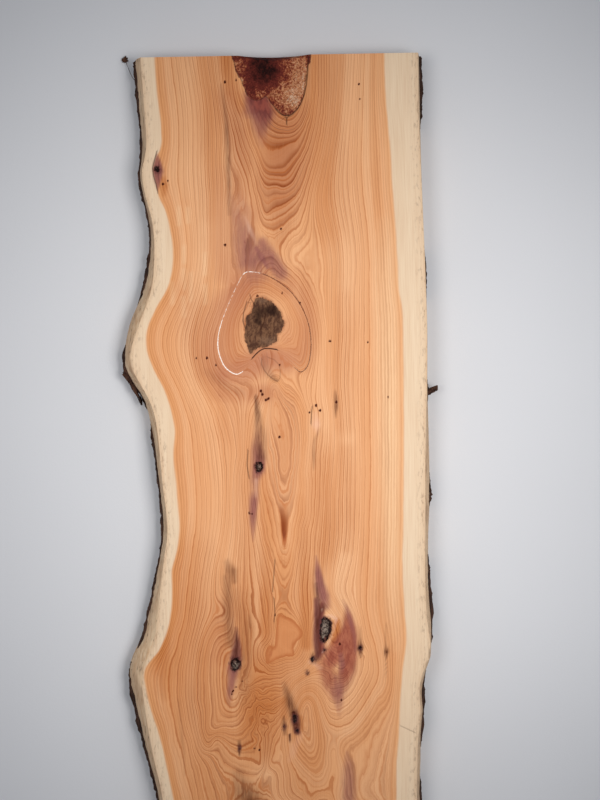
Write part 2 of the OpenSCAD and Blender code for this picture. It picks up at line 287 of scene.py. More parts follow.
    (23, [(4.1, 643.7), (12.9, 654.6), (21.8, 662), (28.1, 661.2), (34.5, 653.2), (38.3, 639.8),
        (39.4, 628.1)]),
    (22, [(-5.4, 618.3), (-3.9, 634.5), (-0.6, 652.6), (5.5, 667.1), (16.1, 676.3)]),
    (21, [(-19.2, 634.3), (-13.5, 620.9), (-9.9, 617.3), (-7.4, 630), (-6.8, 648), (-1.8, 670.6)]),
    (19, [(-24.8, 645), (-20.9, 631.5), (-17.6, 647.8), (-14.4, 670.4)]),
    (20, [(34, 580.3), (42.9, 583.1), (52, 578.8), (59.4, 569), (65, 556.5), (68.9, 541.3)]),
    (21, [(35.6, 589.3), (42.8, 592.1), (50, 588.7), (59.2, 578), (66.6, 565.5), (72.3, 550.3)]),
    (22, [(36.4, 597.4), (42.7, 598.9), (49.9, 595), (58.2, 587), (66.5, 575.4), (74.8, 560.3)]),
    (23, [(38.9, 605.6), (46.1, 605.7), (53.4, 603.1), (62.6, 592.5), (70.9, 579.1), (79.3, 564)]),
    (24, [(37, 611.8), (41.5, 615.5), (46.9, 612), (55.1, 607.7), (64.3, 597), (73.5, 583.7), (83.7, 568.5)]),
    (25, [(43.9, 628.2), (45.9, 621.9), (51.4, 615.7), (59.6, 609.5), (68.8, 598), (78, 583.8),
        (89.1, 568.6)]),
    (12.5, [(29.7, 518.1), (34, 529.9), (41, 540.8), (47.3, 541.8), (50.1, 532), (47.7, 518.4),
        (40.7, 502.1)]),
    (11, [(29.8, 509.1), (33.2, 521.8), (39.3, 530.9), (44.8, 527.4), (42.3, 513.8)]),
    (14, [(25.9, 527), (31.1, 540.6), (40.8, 552.5), (49.8, 552.7), (54.5, 541), (53.8, 524.8),
        (49.6, 511.2), (42.6, 496.7)]),
    (18.5, [(56.3, 536.6), (59.7, 549.2), (57.7, 560)]),
    (24, [(43.2, 671.4), (45.2, 657.9)]),
    (26.3, [(63, 671.7), (65.3, 640.2), (71.1, 619.6), (80.4, 603.6), (89.7, 587.6)]),
    (17, [(-67.5, 615.4), (-56.8, 626.4), (-46.2, 633.8), (-33.6, 635.8), (-26.5, 639.5)]),
    (18.3, [(-74.8, 626.1), (-64.2, 637.1), (-53.6, 644.5), (-41.1, 651.9), (-34.1, 665.5)]),
    (20, [(-74.3, 649.5), (-68.4, 669.4)]),
]
# Edges of the heartwood: (from the head end, across)
left_heartwood = [
    (0, -112.1), (29.6, -110.6), (65.6, -107.3), (76.4, -107.2), (83.6, -108.7), (89, -111.5),
    (94.3, -113.4), (100.6, -114.8), (106.9, -114.2), (114.2, -112.7), (121.4, -111.3), (128.6, -109.2),
    (137.7, -104.9), (155.8, -100.8), (173.8, -98.6), (191.8, -99.9), (209.7, -105.1), (227.5, -115.5),
    (245.4, -122.9), (263.4, -123.7), (281.5, -117.6), (299.7, -108.6), (317.8, -102.9), (335.8, -99.7),
    (353.8, -101.3), (389.8, -99.1), (425.9, -97.4), (443.8, -99.6), (461.7, -104.6), (479.7, -104.5),
    (497.7, -105.8), (515.7, -109.6), (533.5, -117.2), (551.3, -130.5), (569.3, -129.6), (587.4, -125.7),
    (605.5, -119.9), (623.6, -115.3), (641.6, -111.7), (667.8, -107.1), (720, -99), (780, -103),
    (830, -107), (880, -104), (950, -97), (1010, -102), (1060, -108), (1110, -106), (1160, -101),
    (1200, -100),
]
right_heartwood = [
    (0, 94.8), (42.2, 95.6), (69.2, 97.7), (87.2, 98.8), (123.3, 100.3), (159.3, 102.4), (195.3, 103.8),
    (213.4, 104.4), (231.4, 106.8), (249.4, 107.2), (339.4, 106.6), (429.4, 104.3), (456.4, 103.2),
    (501.4, 104.3), (528.4, 105.6), (555.4, 101.8), (582.3, 99.1), (609.3, 97.5), (645.2, 94.6),
    (671.3, 93.8), (740, 93), (820, 97), (900, 100), (960, 98), (1030, 94), (1100, 95), (1160, 98),
    (1200, 99),
]
# Past the last traced ring the figure is plain: flat-sawn rings that sway a little, all in mm
last_traced, plain_after, ring_step = 668, 20, 14
left_ring, right_ring, bark_ring = 26.5, 28.5, 33
left_sapwood, right_sapwood = 20, 21
ring_points, ring_values = [], []
for number, line in ring_lines:
    ring_points += line
    ring_values += [number] * len(line)
for s in np.arange(0, board_length / millimetre + 1, ring_step):
    left_x, right_x = float(eased(left_heartwood, s)), float(eased(right_heartwood, s))
    ring_points += [(left_x, s), (right_x, s), (left_x - left_sapwood, s), (right_x + right_sapwood, s)]
    ring_values += [left_ring, right_ring, bark_ring - 2, bark_ring]
    if s > last_traced + plain_after:
        middle = 11 + 2.5 * np.sin(s / 55)
        for out, ring in ((-62, 20), (-36, 15), (-12, middle), (14, middle + 0.5), (38, 15.5), (64, 21)):
            ring_points.append((out + 6 * np.sin(s / 130), s))
            ring_values.append(ring)
# A log's rings are round about its pith, which wanders low in the board, and they are pushed
# out of round to meet the drawn ones
ring_width = 3.8
pith_height = 17
face_rings = drawn_surface(ring_points, ring_values, spot[on_face])
pith_x = 2 + 4 * np.sin(from_head / 95)
grain_across = spot[:, 0] - pith_x
rng = np.random.default_rng(11)
full_turn = 6.283


def rough(at, size, count=24):
    """Uneven ups and downs about nought, of the given size in mm."""
    total = np.zeros(len(at))
    for _ in range(count):
        wave = rng.normal(size=2) / size
        total += np.cos(full_turn * (at @ wave + rng.random()))
    return total / np.sqrt(count / 2)


def ring_lift(rings):
    """How far the round rings of a log are pushed out to meet the rings drawn on the face."""
    rise = board_thickness / millimetre - pith_height
    lift = np.zeros(len(spot))
    lift[on_face] = np.hypot(grain_across[on_face], rise) - ring_width * rings
    return lift


def carried_down(values, gone_by=0.7):
    """Values of the face's rim, taken down the ends and edges and let die away in the wood."""
    rim = np.zeros((columns + 1, rows + 1))
    rim[column[on_face], row[on_face]] = values[on_face]
    fade = np.clip(1 - depth_shares[layer] / gone_by, 0, 1)
    return np.where(on_face, values, rim[column, row] * fade)


# Shapes drawn on the face, and how far every point is from them
def to_line(line, at, closed=False):
    """Distance to a drawn line, side of it, place along it, and distance past its ends."""
    line = np.asarray(line, float)
    if closed:
        line = np.vstack([line, line[:1]])
    best = np.full(len(at), 1e9)
    turn, along, past = np.zeros(len(at)), np.zeros(len(at)), np.zeros(len(at))
    for n, (a, b) in enumerate(zip(line[:-1], line[1:])):
        run = b - a
        t = ((at - a) @ run) / (run @ run)
        held = np.clip(t, 0, 1)
        gap = at - a - held[:, None] * run
        far = np.hypot(gap[:, 0], gap[:, 1])
        near = far < best
        best = np.where(near, far, best)
        cross = run[0] * (at[:, 1] - a[1]) - run[1] * (at[:, 0] - a[0])
        turn = np.where(near, np.sign(cross), turn)
        along = np.where(near, n + held, along)
        over = np.abs(t - held) * np.hypot(*run)
        past = np.where(near, over, past)
    return best, turn, along, past


def shape_gap(outline, at):
    """Distance to a closed outline, negative inside it."""
    outline = np.asarray(outline, float)
    gap = to_line(outline, at, closed=True)[0]
    held = np.zeros(len(at), bool)
    ends = np.roll(outline, -1, axis=0)
    for a, b in zip(outline, ends):
        spans = (a[1] > at[:, 1]) != (b[1] > at[:, 1])
        with np.errstate(divide="ignore", invalid="ignore"):
            meets = a[0] + (at[:, 1] - a[1]) / (b[1] - a[1]) * (b[0] - a[0])
        held ^= spans & (at[:, 0] < meets)
    return np.where(held, -gap, gap)


def streak(points, at, falloff=1.1, firmness=2.6):
    """Stain along a line of (across, from the head end, half width, strength)."""
    points = np.asarray(points, float)
    far, _, along, _ = to_line(points[:, :2], at)
    corners = np.arange(len(points))
    half = np.interp(along, corners, points[:, 2])
    strength = np.interp(along, corners, points[:, 3])
    return strength * np.exp(-falloff * (far / half) ** firmness)


heart_outline = [(-20.5, 195.9), (-32.2, 194.8), (-36.8, 198.3), (-40.5, 205.4), (-45.1, 214.3),
    (-50.8, 226.8), (-56.4, 241.2), (-59.4, 254.6), (-58.7, 267.2), (-53.5, 279.9), (-44.6, 286.4),
    (-38.3, 284.7), (-31.9, 279.4), (-27.3, 275), (-22.7, 270.5), (-16.3, 266.2), (-9.1, 265.4),
    (-2.9, 269.1), (3.3, 275.5), (9.5, 281.9), (14.8, 285.6), (20.3, 281.2), (23.2, 272.2), (24.3, 257),
    (21.9, 240.7), (15, 224.4), (5.3, 211.6), (-8, 201.5)]
core_outline = [(-23.6, 219.2), (-18.2, 218), (-12.8, 220.3), (-7.5, 224.5), (-4, 229.5), (-2.3, 234),
    (-0.6, 238.5), (0.7, 243), (-2.5, 247.5), (-5.3, 251.9), (-6.3, 257.3), (-10.9, 260.9), (-16.3, 262.1),
    (-22.6, 262.4), (-26.2, 265.1), (-29.4, 268.2), (-32.1, 265), (-33.3, 259.6), (-34.6, 253.2),
    (-35.8, 246.9), (-35.7, 240.6), (-33.8, 235.2), (-30.6, 231.7), (-27.8, 227.2), (-26.8, 222.8)]
pocket_outline = [(-38.6, -7), (-40.6, 3.8), (-39.8, 11), (-37.2, 16.9), (-34.6, 22.3), (-32.4, 28.2),
    (-30.3, 33.2), (-28.1, 37.3), (-24.1, 39.6), (-19.2, 40.2), (-15.5, 38.9), (-12.8, 37.1), (-10.1, 39.4),
    (-7.1, 43.5), (-3.5, 48.1), (0, 51.8), (3.6, 54.1), (7.1, 54.9), (10.8, 52.8), (15.4, 48.4),
    (19.1, 42.6), (21.9, 35.5), (23.4, 26.5), (24.5, 15.7), (24.4, -5.9)]
flame_outline = [(-9.7, 503.9), (-4.3, 504.9), (1, 507.2), (6.4, 511.4), (10.8, 516.9), (12, 521.8),
    (9.7, 525.8), (5.6, 528.9), (3.7, 533.8), (4.1, 540.6), (-4, 541.4), (-12.2, 544.4), (-20.4, 548.3),
    (-21.3, 540.6), (-19.7, 533.4), (-17.4, 530.3), (-14.3, 533.1), (-12.3, 526.4), (-11.7, 515.6)]


def rounded(outline, cuts=4):
    """The same closed outline with its corners rounded off."""
    here = np.asarray(outline, float)
    back, on, past = np.roll(here, 1, 0), np.roll(here, -1, 0), np.roll(here, -2, 0)
    parts = []
    for t in np.arange(cuts) / cuts:
        bend = (2 * back - 5 * here + 4 * on - past) * t**2 + (3 * here - back - 3 * on + past) * t**3
        parts.append(here + 0.5 * ((on - back) * t + bend))
    return np.stack(parts, 1).reshape(-1, 2)


heart_gap, core_gap, pocket_gap, flame_gap = (
    shape_gap(rounded(outline), spot)
    for outline in (heart_outline, core_outline, pocket_outline, flame_outline)
)
# The heart's rim is an open white crack on the left, a dark seam on the right and grown in below:
# (corner of the outline, how white or how dark)
white_crack = [(0, 0.5), (1, 0.55), (2, 0.5), (3, 0.42), (5, 0.42), (6, 0.55), (7, 0.75), (8, 0.95),
    (10.8, 1), (11.4, 0), (27, 0), (28, 0.3)]
dark_seam = [(0, 0.3), (0.5, 0), (18, 0), (19.5, 0.7), (21, 0.9), (25, 0.7), (27, 0.9), (28, 0.5)]
rim_along = to_line(heart_outline, spot, closed=True)[2]
white_rim, dark_rim = (np.interp(rim_along, *np.transpose(table)) for table in (white_crack, dark_seam))
outermost_ring, knot_rings = 3, 5
between = np.clip(heart_gap / np.minimum(heart_gap - np.maximum(core_gap, 0), -0.5), 0, 1)
heart_rings = outermost_ring + knot_rings * between

# Stains, each a few streaks run together: red, purple, smoke-dark and brick red by the knots,
# tan, amber and dusky where the rings crowd, and pale and cream where the wood is bleached
stains = {
    "red": [
        [(-3.8, 422.1, 2.7, 0.15), (-3, 429.3, 2.7, 0.3), (-2.8, 436.5, 2.16, 0.4), (-2.3, 442.8, 1.62, 0.3)],
        [(51.6, 496.9, 2.7, 0.3), (53.3, 505.9, 5.4, 0.7), (54, 516.7, 7.65, 1), (54.7, 529.3, 8.55, 1),
            (54, 541.9, 8.55, 1), (51.5, 554.5, 9, 0.95), (47.7, 567, 8.1, 0.7), (45.7, 577.8, 5.4, 0.35)],
        [(52.3, 511.3, 4.5, 0.8), (51.2, 522.1, 7.2, 0.95), (46.5, 532.8, 9.9, 1), (40.1, 541.7, 10.8, 1),
            (34.6, 547, 9.9, 0.85), (27.3, 548.7, 5.4, 0.5)],
        [(32.6, 554.2, 9, 0.7), (36.9, 565, 9.9, 0.75), (41.3, 575.9, 8.1, 0.6)],
    ],
    "purple": [
        [(-39.1, 126.2, 5.4, 0.2), (-33.9, 138, 8.1, 0.4), (-28.7, 149.8, 7.2, 0.3)],
        [(-46.3, 124.3, 3.6, 0.3), (-41.2, 140.6, 8.1, 0.5), (-36, 156.9, 12.6, 0.66),
            (-30.9, 173.2, 17.1, 0.76), (-26.6, 185.9, 19.8, 0.8), (-24.1, 195.8, 15.3, 0.55)],
        [(-18.3, 169.8, 8.1, 0.75), (-11.3, 182.5, 9.9, 0.82), (-1.6, 196.2, 9, 0.7)],
        [(-23.7, 173.3, 3.6, 0.95), (-18.5, 182.4, 4.5, 1.05), (-13.2, 190.6, 3.6, 0.8)],
        [(-26.7, 34.6, 7.2, 0.8), (-20.6, 45.5, 15.3, 0.95), (-17.2, 55.5, 13.5, 0.85),
            (-17.4, 67.2, 9.9, 0.6), (-17.6, 78.9, 7.2, 0.35)],
        [(-111.3, 87.2, 1.35, 0.6), (-111, 95.3, 4.5, 0.95), (-110.7, 102.5, 5.85, 1.1),
            (-111.3, 110.6, 4.05, 1), (-111.4, 118.7, 1.8, 0.7)],
        [(-24.7, 331.7, 4.5, 0.3), (-24.9, 344.3, 5.4, 0.5), (-26, 355.1, 7.2, 0.72),
            (-24.4, 365.9, 8.1, 0.9), (-25.4, 373.1, 7.2, 0.95), (-28.3, 382.1, 5.85, 0.65),
            (-28.4, 391.1, 5.4, 0.55), (-29.5, 400, 5.4, 0.85), (-30.6, 410.8, 4.5, 0.95),
            (-30.8, 422.5, 4.05, 0.7), (-31, 436.9, 1.8, 0.4)],
        [(25.4, 451.4, 1.8, 0.5), (27, 465.8, 4.05, 0.9), (28.6, 478.5, 5.85, 1), (31.1, 488.4, 7.2, 0.95),
            (33.6, 496.6, 5.4, 0.7)],
        [(25.6, 491, 3.6, 0.9), (26.3, 501.8, 4.5, 1), (26.1, 514.4, 4.5, 1.1), (25.5, 527, 4.5, 1.1),
            (25.7, 540.5, 3.6, 0.9)],
        [(46.4, 540.9, 3.15, 0.6), (47.1, 549, 4.05, 0.75), (46.1, 557.1, 3.15, 0.5)],
        [(49, 491.4, 1.8, 0.4), (52.5, 499.6, 2.7, 0.6), (55.9, 511.4, 3.15, 0.7), (58.4, 524, 2.7, 0.55),
            (59.5, 538.4, 2.25, 0.4)],
        [(43.3, 563.3, 7.2, 0.5), (43.1, 574.1, 7.65, 0.68), (43.8, 585, 5.85, 0.6), (44.5, 595.8, 2.7, 0.3)],
        [(-47.7, 514.9, 2.7, 0.4), (-47.1, 530.3, 4.5, 0.9), (-48.2, 541.9, 6.3, 1)],
        [(4.1, 591.5, 3.6, 0.6), (4.4, 600.5, 4.5, 0.9), (5.6, 609.5, 3.6, 0.7)],
        [(-49.9, 539.2, 3.6, 0.6), (-51, 550.9, 6.3, 0.95), (-52.1, 561.7, 5.4, 0.8),
            (-54.1, 572.4, 4.5, 0.7), (-55.2, 585.9, 2.7, 0.3)],
        [(50.2, 628.3, 2.25, 0.44), (51.8, 640, 6.75, 0.6), (51.6, 653.5, 8.1, 0.66), (51.3, 671.5, 9, 0.66)],
    ],
    "smoke": [
        [(-38.2, 486.3, 6.3, 0.1), (-37.8, 515.1, 8.1, 0.2), (-39.1, 539.4, 8.1, 0.27),
            (-41.3, 561.9, 8.1, 0.24), (-41.7, 581.7, 6.3, 0.12)],
        [(-18.3, 272.4, 3.6, 0.16), (-17.5, 279.6, 3.6, 0.25), (-14, 286.9, 3.6, 0.25),
            (-7.8, 292.4, 2.25, 0.5)],
        [(25, 476.6, 1.8, 0.4), (26.1, 489.2, 2.34, 0.66), (27.3, 498.3, 2.88, 0.74),
            (26.3, 507.2, 2.7, 0.8), (25, 518, 2.88, 0.78), (25.5, 527, 3.24, 0.86), (26.2, 536, 3.24, 0.8),
            (24.2, 545, 2.16, 0.55)],
        [(30, 500.1, 2.7, 0.6), (32.7, 496.5, 2.25, 0.4)],
        [(20.7, 539.5, 1.62, 0.6), (21.1, 544.1, 2.34, 0.9), (20.1, 547.6, 1.44, 0.5)],
        [(-26.1, 306.5, 1.44, 0.8), (-25.3, 317.3, 2.52, 0.75), (-24.2, 328.1, 4.05, 0.6),
            (-23, 338.9, 5.4, 0.5), (-23.2, 351.5, 5.4, 0.55), (-22.5, 361.5, 4.5, 0.75)],
        [(-54.3, 456.3, 3.6, 0.3), (-51.3, 463.6, 5.4, 0.65), (-49.7, 472.6, 3.6, 0.5)],
        [(-55, 469.8, 4.5, 0.42), (-54, 489.6, 4.95, 0.44), (-53.9, 512.1, 4.95, 0.44),
            (-52.5, 530.2, 4.5, 0.42)],
        [(-48, 482.5, 5.4, 0.16), (-45.5, 494.3, 7.2, 0.18), (-44, 507.8, 7.2, 0.14)],
        [(-35.8, 504.4, 2.25, 0.3), (-35.5, 513.4, 2.7, 0.42), (-36.1, 522.3, 1.8, 0.25)],
        [(-47.7, 514.9, 1.44, 0.45), (-47.4, 525.8, 2.7, 0.85), (-47.6, 534.8, 3.24, 0.95),
            (-48.2, 541.9, 3.78, 0.95)],
        [(-40.8, 534.9, 2.7, 0.25), (-40, 540.3, 3.6, 0.3), (-41.9, 545.7, 2.7, 0.2)],
        [(-5.4, 566.1, 2.7, 0.25), (-2, 577, 3.6, 0.6), (0.6, 586, 4.5, 0.85), (3.6, 595.1, 4.5, 1),
            (4.8, 602.3, 3.96, 1), (5.6, 609.5, 2.7, 1)],
        [(-6.3, 595.8, 1.17, 0.6), (-5.6, 604.8, 2.16, 1.1), (-5.3, 611.1, 1.44, 0.7)],
        [(-1.2, 612.1, 1.26, 1), (-1.1, 617.5, 1.08, 0.8)],
        [(31, 336.3, 1.35, 0.15), (26.3, 347, 1.8, 0.35), (25.2, 360.5, 1.8, 0.4), (25, 373.1, 1.35, 0.2)],
        [(45.1, 303.2, 1.17, 0.4), (45.9, 311.3, 1.8, 0.85), (45.8, 317.6, 1.8, 0.85),
            (45.2, 326.6, 1.08, 0.3)],
        [(-52.6, 25.2, 1.08, 0.25), (-49.8, 44.1, 1.62, 0.4), (-48.3, 58.6, 1.89, 0.5),
            (-48.1, 75.7, 2.16, 0.5), (-47.5, 93.7, 2.25, 0.48), (-47.1, 120.7, 1.98, 0.42),
            (-47, 142.3, 1.8, 0.28)],
        [(-48.2, 646.4, 5.4, 0.28), (-43.9, 659, 9.9, 0.5), (-40.5, 669.9, 13.5, 0.64)],
        [(-69.8, 284.1, 3.6, 0.1), (-53.8, 297, 4.5, 0.16), (-40.4, 302.6, 4.5, 0.12)],
        [(87.3, 513.7, 0.9, 0.2), (87, 531.7, 0.99, 0.4), (87.2, 538.9, 2.16, 1), (86.8, 546.1, 0.9, 0.35),
            (86.5, 561.4, 0.9, 0.2)],
        [(63.9, 516.9, 0.81, 0.3), (63.7, 525.9, 0.99, 0.45), (64, 534.9, 2.7, 1), (63.9, 543, 0.9, 0.5)],
        [(-100.1, 578.8, 1.08, 0.16), (-98, 610.4, 1.26, 0.22), (-95.9, 646.4, 1.08, 0.16)],
        [(-46.8, 616.7, 1.08, 0.6), (-46.4, 623, 1.71, 1), (-46.5, 629.3, 0.99, 0.7)],
    ],
    "brick": [
        [(-25, 38.3, 7.2, 0.8), (-17.9, 43.8, 12.6, 1), (-14.4, 51.1, 11.7, 0.85), (-14.6, 60.1, 8.1, 0.55),
            (-15.6, 70.8, 5.4, 0.25)],
        [(30.1, 494.7, 2.7, 0.8), (29.9, 501.9, 3.6, 0.9), (28, 510.9, 3.6, 0.9), (28.6, 527.1, 3.6, 0.95),
            (29.3, 536.1, 4.5, 0.9), (26.5, 543.2, 3.6, 0.7)],
    ],
    "tan": [
        [(-88.3, 211.8, 14.4, 0.2), (-79.7, 235.3, 18, 0.32), (-72.9, 259.8, 16.2, 0.42),
            (-69.7, 282.3, 12.6, 0.42), (-54.8, 302.4, 10.8, 0.36), (-33.2, 304.6, 9.9, 0.34),
            (-16.1, 304.9, 8.1, 0.38)],
        [(2.6, 209.8, 8.1, 0.26), (18.2, 193.8, 8.1, 0.2), (23.1, 220.9, 8.1, 0.3), (23.5, 252.4, 9, 0.3),
            (18.5, 280.3, 8.1, 0.26)],
        [(-60, 496.7, 10.8, 0.3), (-60.3, 516.5, 11.7, 0.4), (-62.5, 539, 10.8, 0.35)],
        [(4.4, 58.6, 23.4, 0.75), (3, 85.6, 23.4, 0.9), (-1.1, 117, 23.4, 0.85), (-1.6, 144, 16.2, 0.6),
            (-2, 166.5, 9, 0.3)],
        [(-46.6, 37.9, 11.7, 0.45), (-38.1, 68.6, 12.6, 0.68), (-34.1, 98.4, 10.8, 0.56),
            (-37.2, 120.9, 10.8, 0.42)],
        [(-18.8, 202.2, 19.8, 0.4), (-46.6, 246.7, 9, 0.3), (-39.9, 273.8, 9, 0.35)],
        [(-0.9, 310.5, 14.4, 0.25), (-1.7, 355.5, 16.2, 0.3), (-2.5, 400.5, 12.6, 0.25)],
        [(-40.4, 305.3, 18, 0.2), (-50, 336.7, 16.2, 0.15)],
        [(-3.4, 400.5, 4.5, 0.4), (-3, 427.5, 3.6, 0.6), (-3.2, 441.9, 1.8, 0.4)],
    ],
    "amber": [
        [(-34.5, 326.1, 8.1, 0.2), (-35.9, 354.9, 9.9, 0.38), (-36.5, 390.9, 9.9, 0.42),
            (-36.3, 426.9, 9.9, 0.42), (-37.8, 462.9, 10.8, 0.48), (-39.3, 498.9, 10.8, 0.68),
            (-39.9, 534.9, 10.8, 0.8), (-41.5, 570.9, 9.9, 0.6)],
        [(-19.2, 377.7, 7.2, 0.34), (-19, 418.2, 8.1, 0.46), (-19.6, 454.2, 8.1, 0.5),
            (-20.3, 490.2, 8.1, 0.78), (-20.8, 519, 8.1, 0.82), (-21.1, 537, 7.2, 0.6)],
        [(32.6, 347.1, 9, 0.2), (33.2, 365.1, 11.7, 0.44), (32, 384.9, 13.5, 0.52), (32.5, 405.6, 14.4, 0.5),
            (33, 428.1, 14.4, 0.52), (30.9, 447.9, 12.6, 0.5), (26.9, 467.6, 8.1, 0.3)],
        [(54.1, 358.3, 9, 0.24), (54.5, 383.5, 10.8, 0.34), (54, 415, 10.8, 0.36), (52.6, 442, 9, 0.26)],
        [(55.5, 221.5, 9, 0.16), (56.8, 250.3, 10.8, 0.3), (55.3, 284.5, 9.9, 0.26), (53.6, 334, 9.9, 0.2)],
        [(-47.7, 0.1, 9, 0.85), (-47.1, 14.5, 8.1, 0.8), (-43.8, 32.5, 8.1, 0.6), (-35, 47.1, 7.2, 0.5)],
        [(-112.9, 488.6, 8.1, 0.3), (-115.4, 524.6, 9.9, 0.85), (-114, 549.8, 9.9, 0.7),
            (-110.8, 574.2, 8.1, 0.4)],
        [(16.4, 400.8, 7.2, 0.22), (15, 427.8, 8.1, 0.38), (14.4, 463.8, 8.1, 0.4)],
        [(-57.7, 518.4, 9, 0.46), (-58.1, 543.6, 9, 0.62), (-57.7, 570.6, 9, 0.62), (-55.4, 594, 7.2, 0.5)],
        [(-5.7, 582.3, 7.2, 0.75), (-6.8, 594.9, 6.3, 0.75)],
        [(-26.8, 661.1, 12.6, 0.45), (-27, 671.9, 12.6, 0.5), (-59.4, 667.8, 10.8, 0.5)],
        [(-2.7, 411.3, 4.5, 0.4), (-2.9, 422.1, 4.05, 0.8), (-2.8, 431.1, 2.7, 1), (-2.7, 442.8, 1.8, 0.9)],
        [(15.5, 451.2, 7.2, 0.42), (15.7, 490.8, 8.1, 0.72), (15, 531.3, 7.2, 0.78)],
        [(43.3, 511.1, 3.6, 1), (43.6, 520.1, 4.05, 1.1), (40.3, 530, 3.6, 1)],
        [(-106.3, 109.8, 2.7, 0.6), (-105.5, 116.1, 3.6, 0.8), (-105.7, 123.3, 2.7, 0.4)],
        [(-19.4, 546, 2.7, 0.9), (-17.1, 538.9, 3.6, 1), (-15.2, 533.1, 2.7, 0.9)],
        [(8.5, 596.9, 3.6, 0.8), (9.2, 606, 3.6, 0.8), (7.3, 614.9, 2.7, 0.4)],
        [(-58.6, 3.5, 18, 0.42), (-60.3, 48.5, 16.2, 0.38), (-61.9, 93.4, 14.4, 0.3),
            (-64.5, 138.4, 12.6, 0.14)],
        [(-84.7, 3, 30.6, 0.12), (-86.7, 66, 30.6, 0.08)],
        [(38.6, 5.2, 19.8, 0.5), (37.8, 50.2, 19.8, 0.46), (38.8, 95.2, 19.8, 0.4),
            (43.2, 153.8, 19.8, 0.26)],
        [(-89.8, 453, 23.4, 0.28), (-90.6, 498, 27, 0.5), (-86, 543.1, 32.4, 0.52), (-76.9, 588.2, 36, 0.44),
            (-64, 624.5, 34.2, 0.42), (-60.3, 669.5, 32.4, 0.42)],
        [(-44.3, 525.8, 16.2, 0.4), (-25, 554.9, 23.4, 0.8), (-27.4, 589.1, 25.2, 0.95),
            (-29.7, 620.6, 21.6, 0.7)],
        [(2.3, 540.1, 21.6, 0.45), (-13.3, 557.9, 19.8, 0.6)],
        [(8.9, 571.7, 23.4, 0.35), (12.6, 616.8, 27, 0.3), (7.4, 661.7, 27, 0.3)],
        [(71.8, 581.8, 23.4, 0.08), (75.3, 635.9, 23.4, 0.1), (77.4, 672, 23.4, 0.15)],
        [(-50.5, 467.2, 10.8, 0.35), (-47.4, 498.7, 13.5, 0.4)],
        [(-2.6, 459, 16.2, 0.25), (-3.6, 517.5, 13.5, 0.5)],
    ],
    "pale": [
        [(32.6, 505.1, 1.44, 0.4), (38, 505.6, 1.98, 0.55), (42.4, 508.4, 1.98, 0.55),
            (41.4, 515.6, 1.44, 0.3), (39, 521.9, 1.26, 0.25), (35.8, 529, 1.44, 0.35),
            (33, 532.6, 1.26, 0.35)],
        [(17.5, 546.7, 2.25, 0.35), (21.9, 548.6, 2.7, 0.4), (27.3, 552.3, 3.6, 0.3)],
        [(30.7, 537, 1.08, 0.7), (29.8, 537.9, 0.9, 0.6)],
        [(30, 499.2, 1.08, 0.7), (30, 500.5, 1.08, 0.6)],
        [(-33.1, 145.2, 1.8, 0.3), (-28.8, 157, 2.7, 0.45), (-23.6, 168.8, 2.25, 0.3)],
        [(-27.4, 382.1, 2.25, 0.4), (-27.6, 396.5, 2.25, 0.3)],
        [(26.7, 324.5, 4.5, 0.3), (27.5, 333.5, 5.4, 0.5), (28.2, 341.6, 2.7, 0.2)],
        [(-20.1, 274.2, 3.6, 0.2), (-16.6, 281.5, 4.5, 0.22), (-11.3, 288.7, 2.7, 0.15)],
        [(8.2, 612.2, 4.5, 0.25), (2.6, 623.8, 5.4, 0.3), (-1.2, 634.6, 3.6, 0.25)],
    ],
    "cream": [
        [(93.6, 154.7, 9, 0.14), (94, 186.2, 11.7, 0.32), (93.9, 240.2, 11.7, 0.46),
            (94.5, 312.2, 11.7, 0.54), (94.1, 384.2, 11.7, 0.54), (93.9, 447.2, 11.7, 0.46),
            (93.9, 496.7, 9.9, 0.3), (95.1, 532.7, 8.1, 0.1)],
        [(-86.5, 4.8, 9.9, 0.1), (-87.3, 48, 10.8, 0.16), (-88, 93, 9.9, 0.14), (-88.5, 120, 9, 0.06)],
        [(78.2, 7.7, 9, 0.12), (77.4, 50.9, 9, 0.14), (76.6, 95.9, 8.1, 0.06)],
    ],
    "dusk": [
        [(3.9, 240.4, 7.2, 0.26), (2.7, 256.6, 8.1, 0.34)],
        [(-51.4, 107.1, 10.8, 0.18), (-52, 143.1, 11.7, 0.28), (-53.5, 174.6, 11.7, 0.3),
            (-47.5, 196.3, 13.5, 0.42), (-37.8, 207.3, 13.5, 0.72), (-50.8, 226.8, 15.3, 0.58),
            (-56.5, 246.6, 15.3, 0.44), (-57.8, 266.3, 16.2, 0.46), (-52.7, 283.5, 15.3, 0.72),
            (-34.6, 282.9, 14.4, 0.66), (-16.5, 272.5, 13.5, 0.84), (1.5, 274.6, 13.5, 0.68),
            (16.1, 265.8, 12.6, 0.34), (19.2, 238.9, 12.6, 0.28), (13.3, 217.2, 12.6, 0.28),
            (0.9, 206.1, 11.7, 0.28)],
        [(-37.4, 133.5, 12.6, 0.3), (-30.4, 144.4, 12.6, 0.34)],
        [(-53, 300.6, 12.6, 0.3), (-33.2, 302.8, 11.7, 0.3), (-15.2, 303.1, 10.8, 0.32)],
    ],
}
# The planer's ripples are short cream dashes, from one end (across, from the head end) to the other
planer_marks = [
    [(-88.5, 171.3), (-88.7, 184.8)], [(-88.9, 192), (-88.7, 208.2)], [(-69.7, 177.9), (-70, 195.9)],
    [(-70.2, 206.7), (-70, 222)], [(-82.6, 195.7), (-83, 219.1)], [(-99.9, 203.5), (-99.7, 221.5)],
    [(-92.4, 136.1), (-92.6, 150.5)], [(-84.3, 137.1), (-84.5, 148.8)], [(-89.8, 217.2), (-89.6, 233.4)],
]
ripple_width, ripple_strength = 2.34, 0.26
stains["cream"] += [[(x, s, ripple_width, ripple_strength) for x, s in ends] for ends in planer_marks]
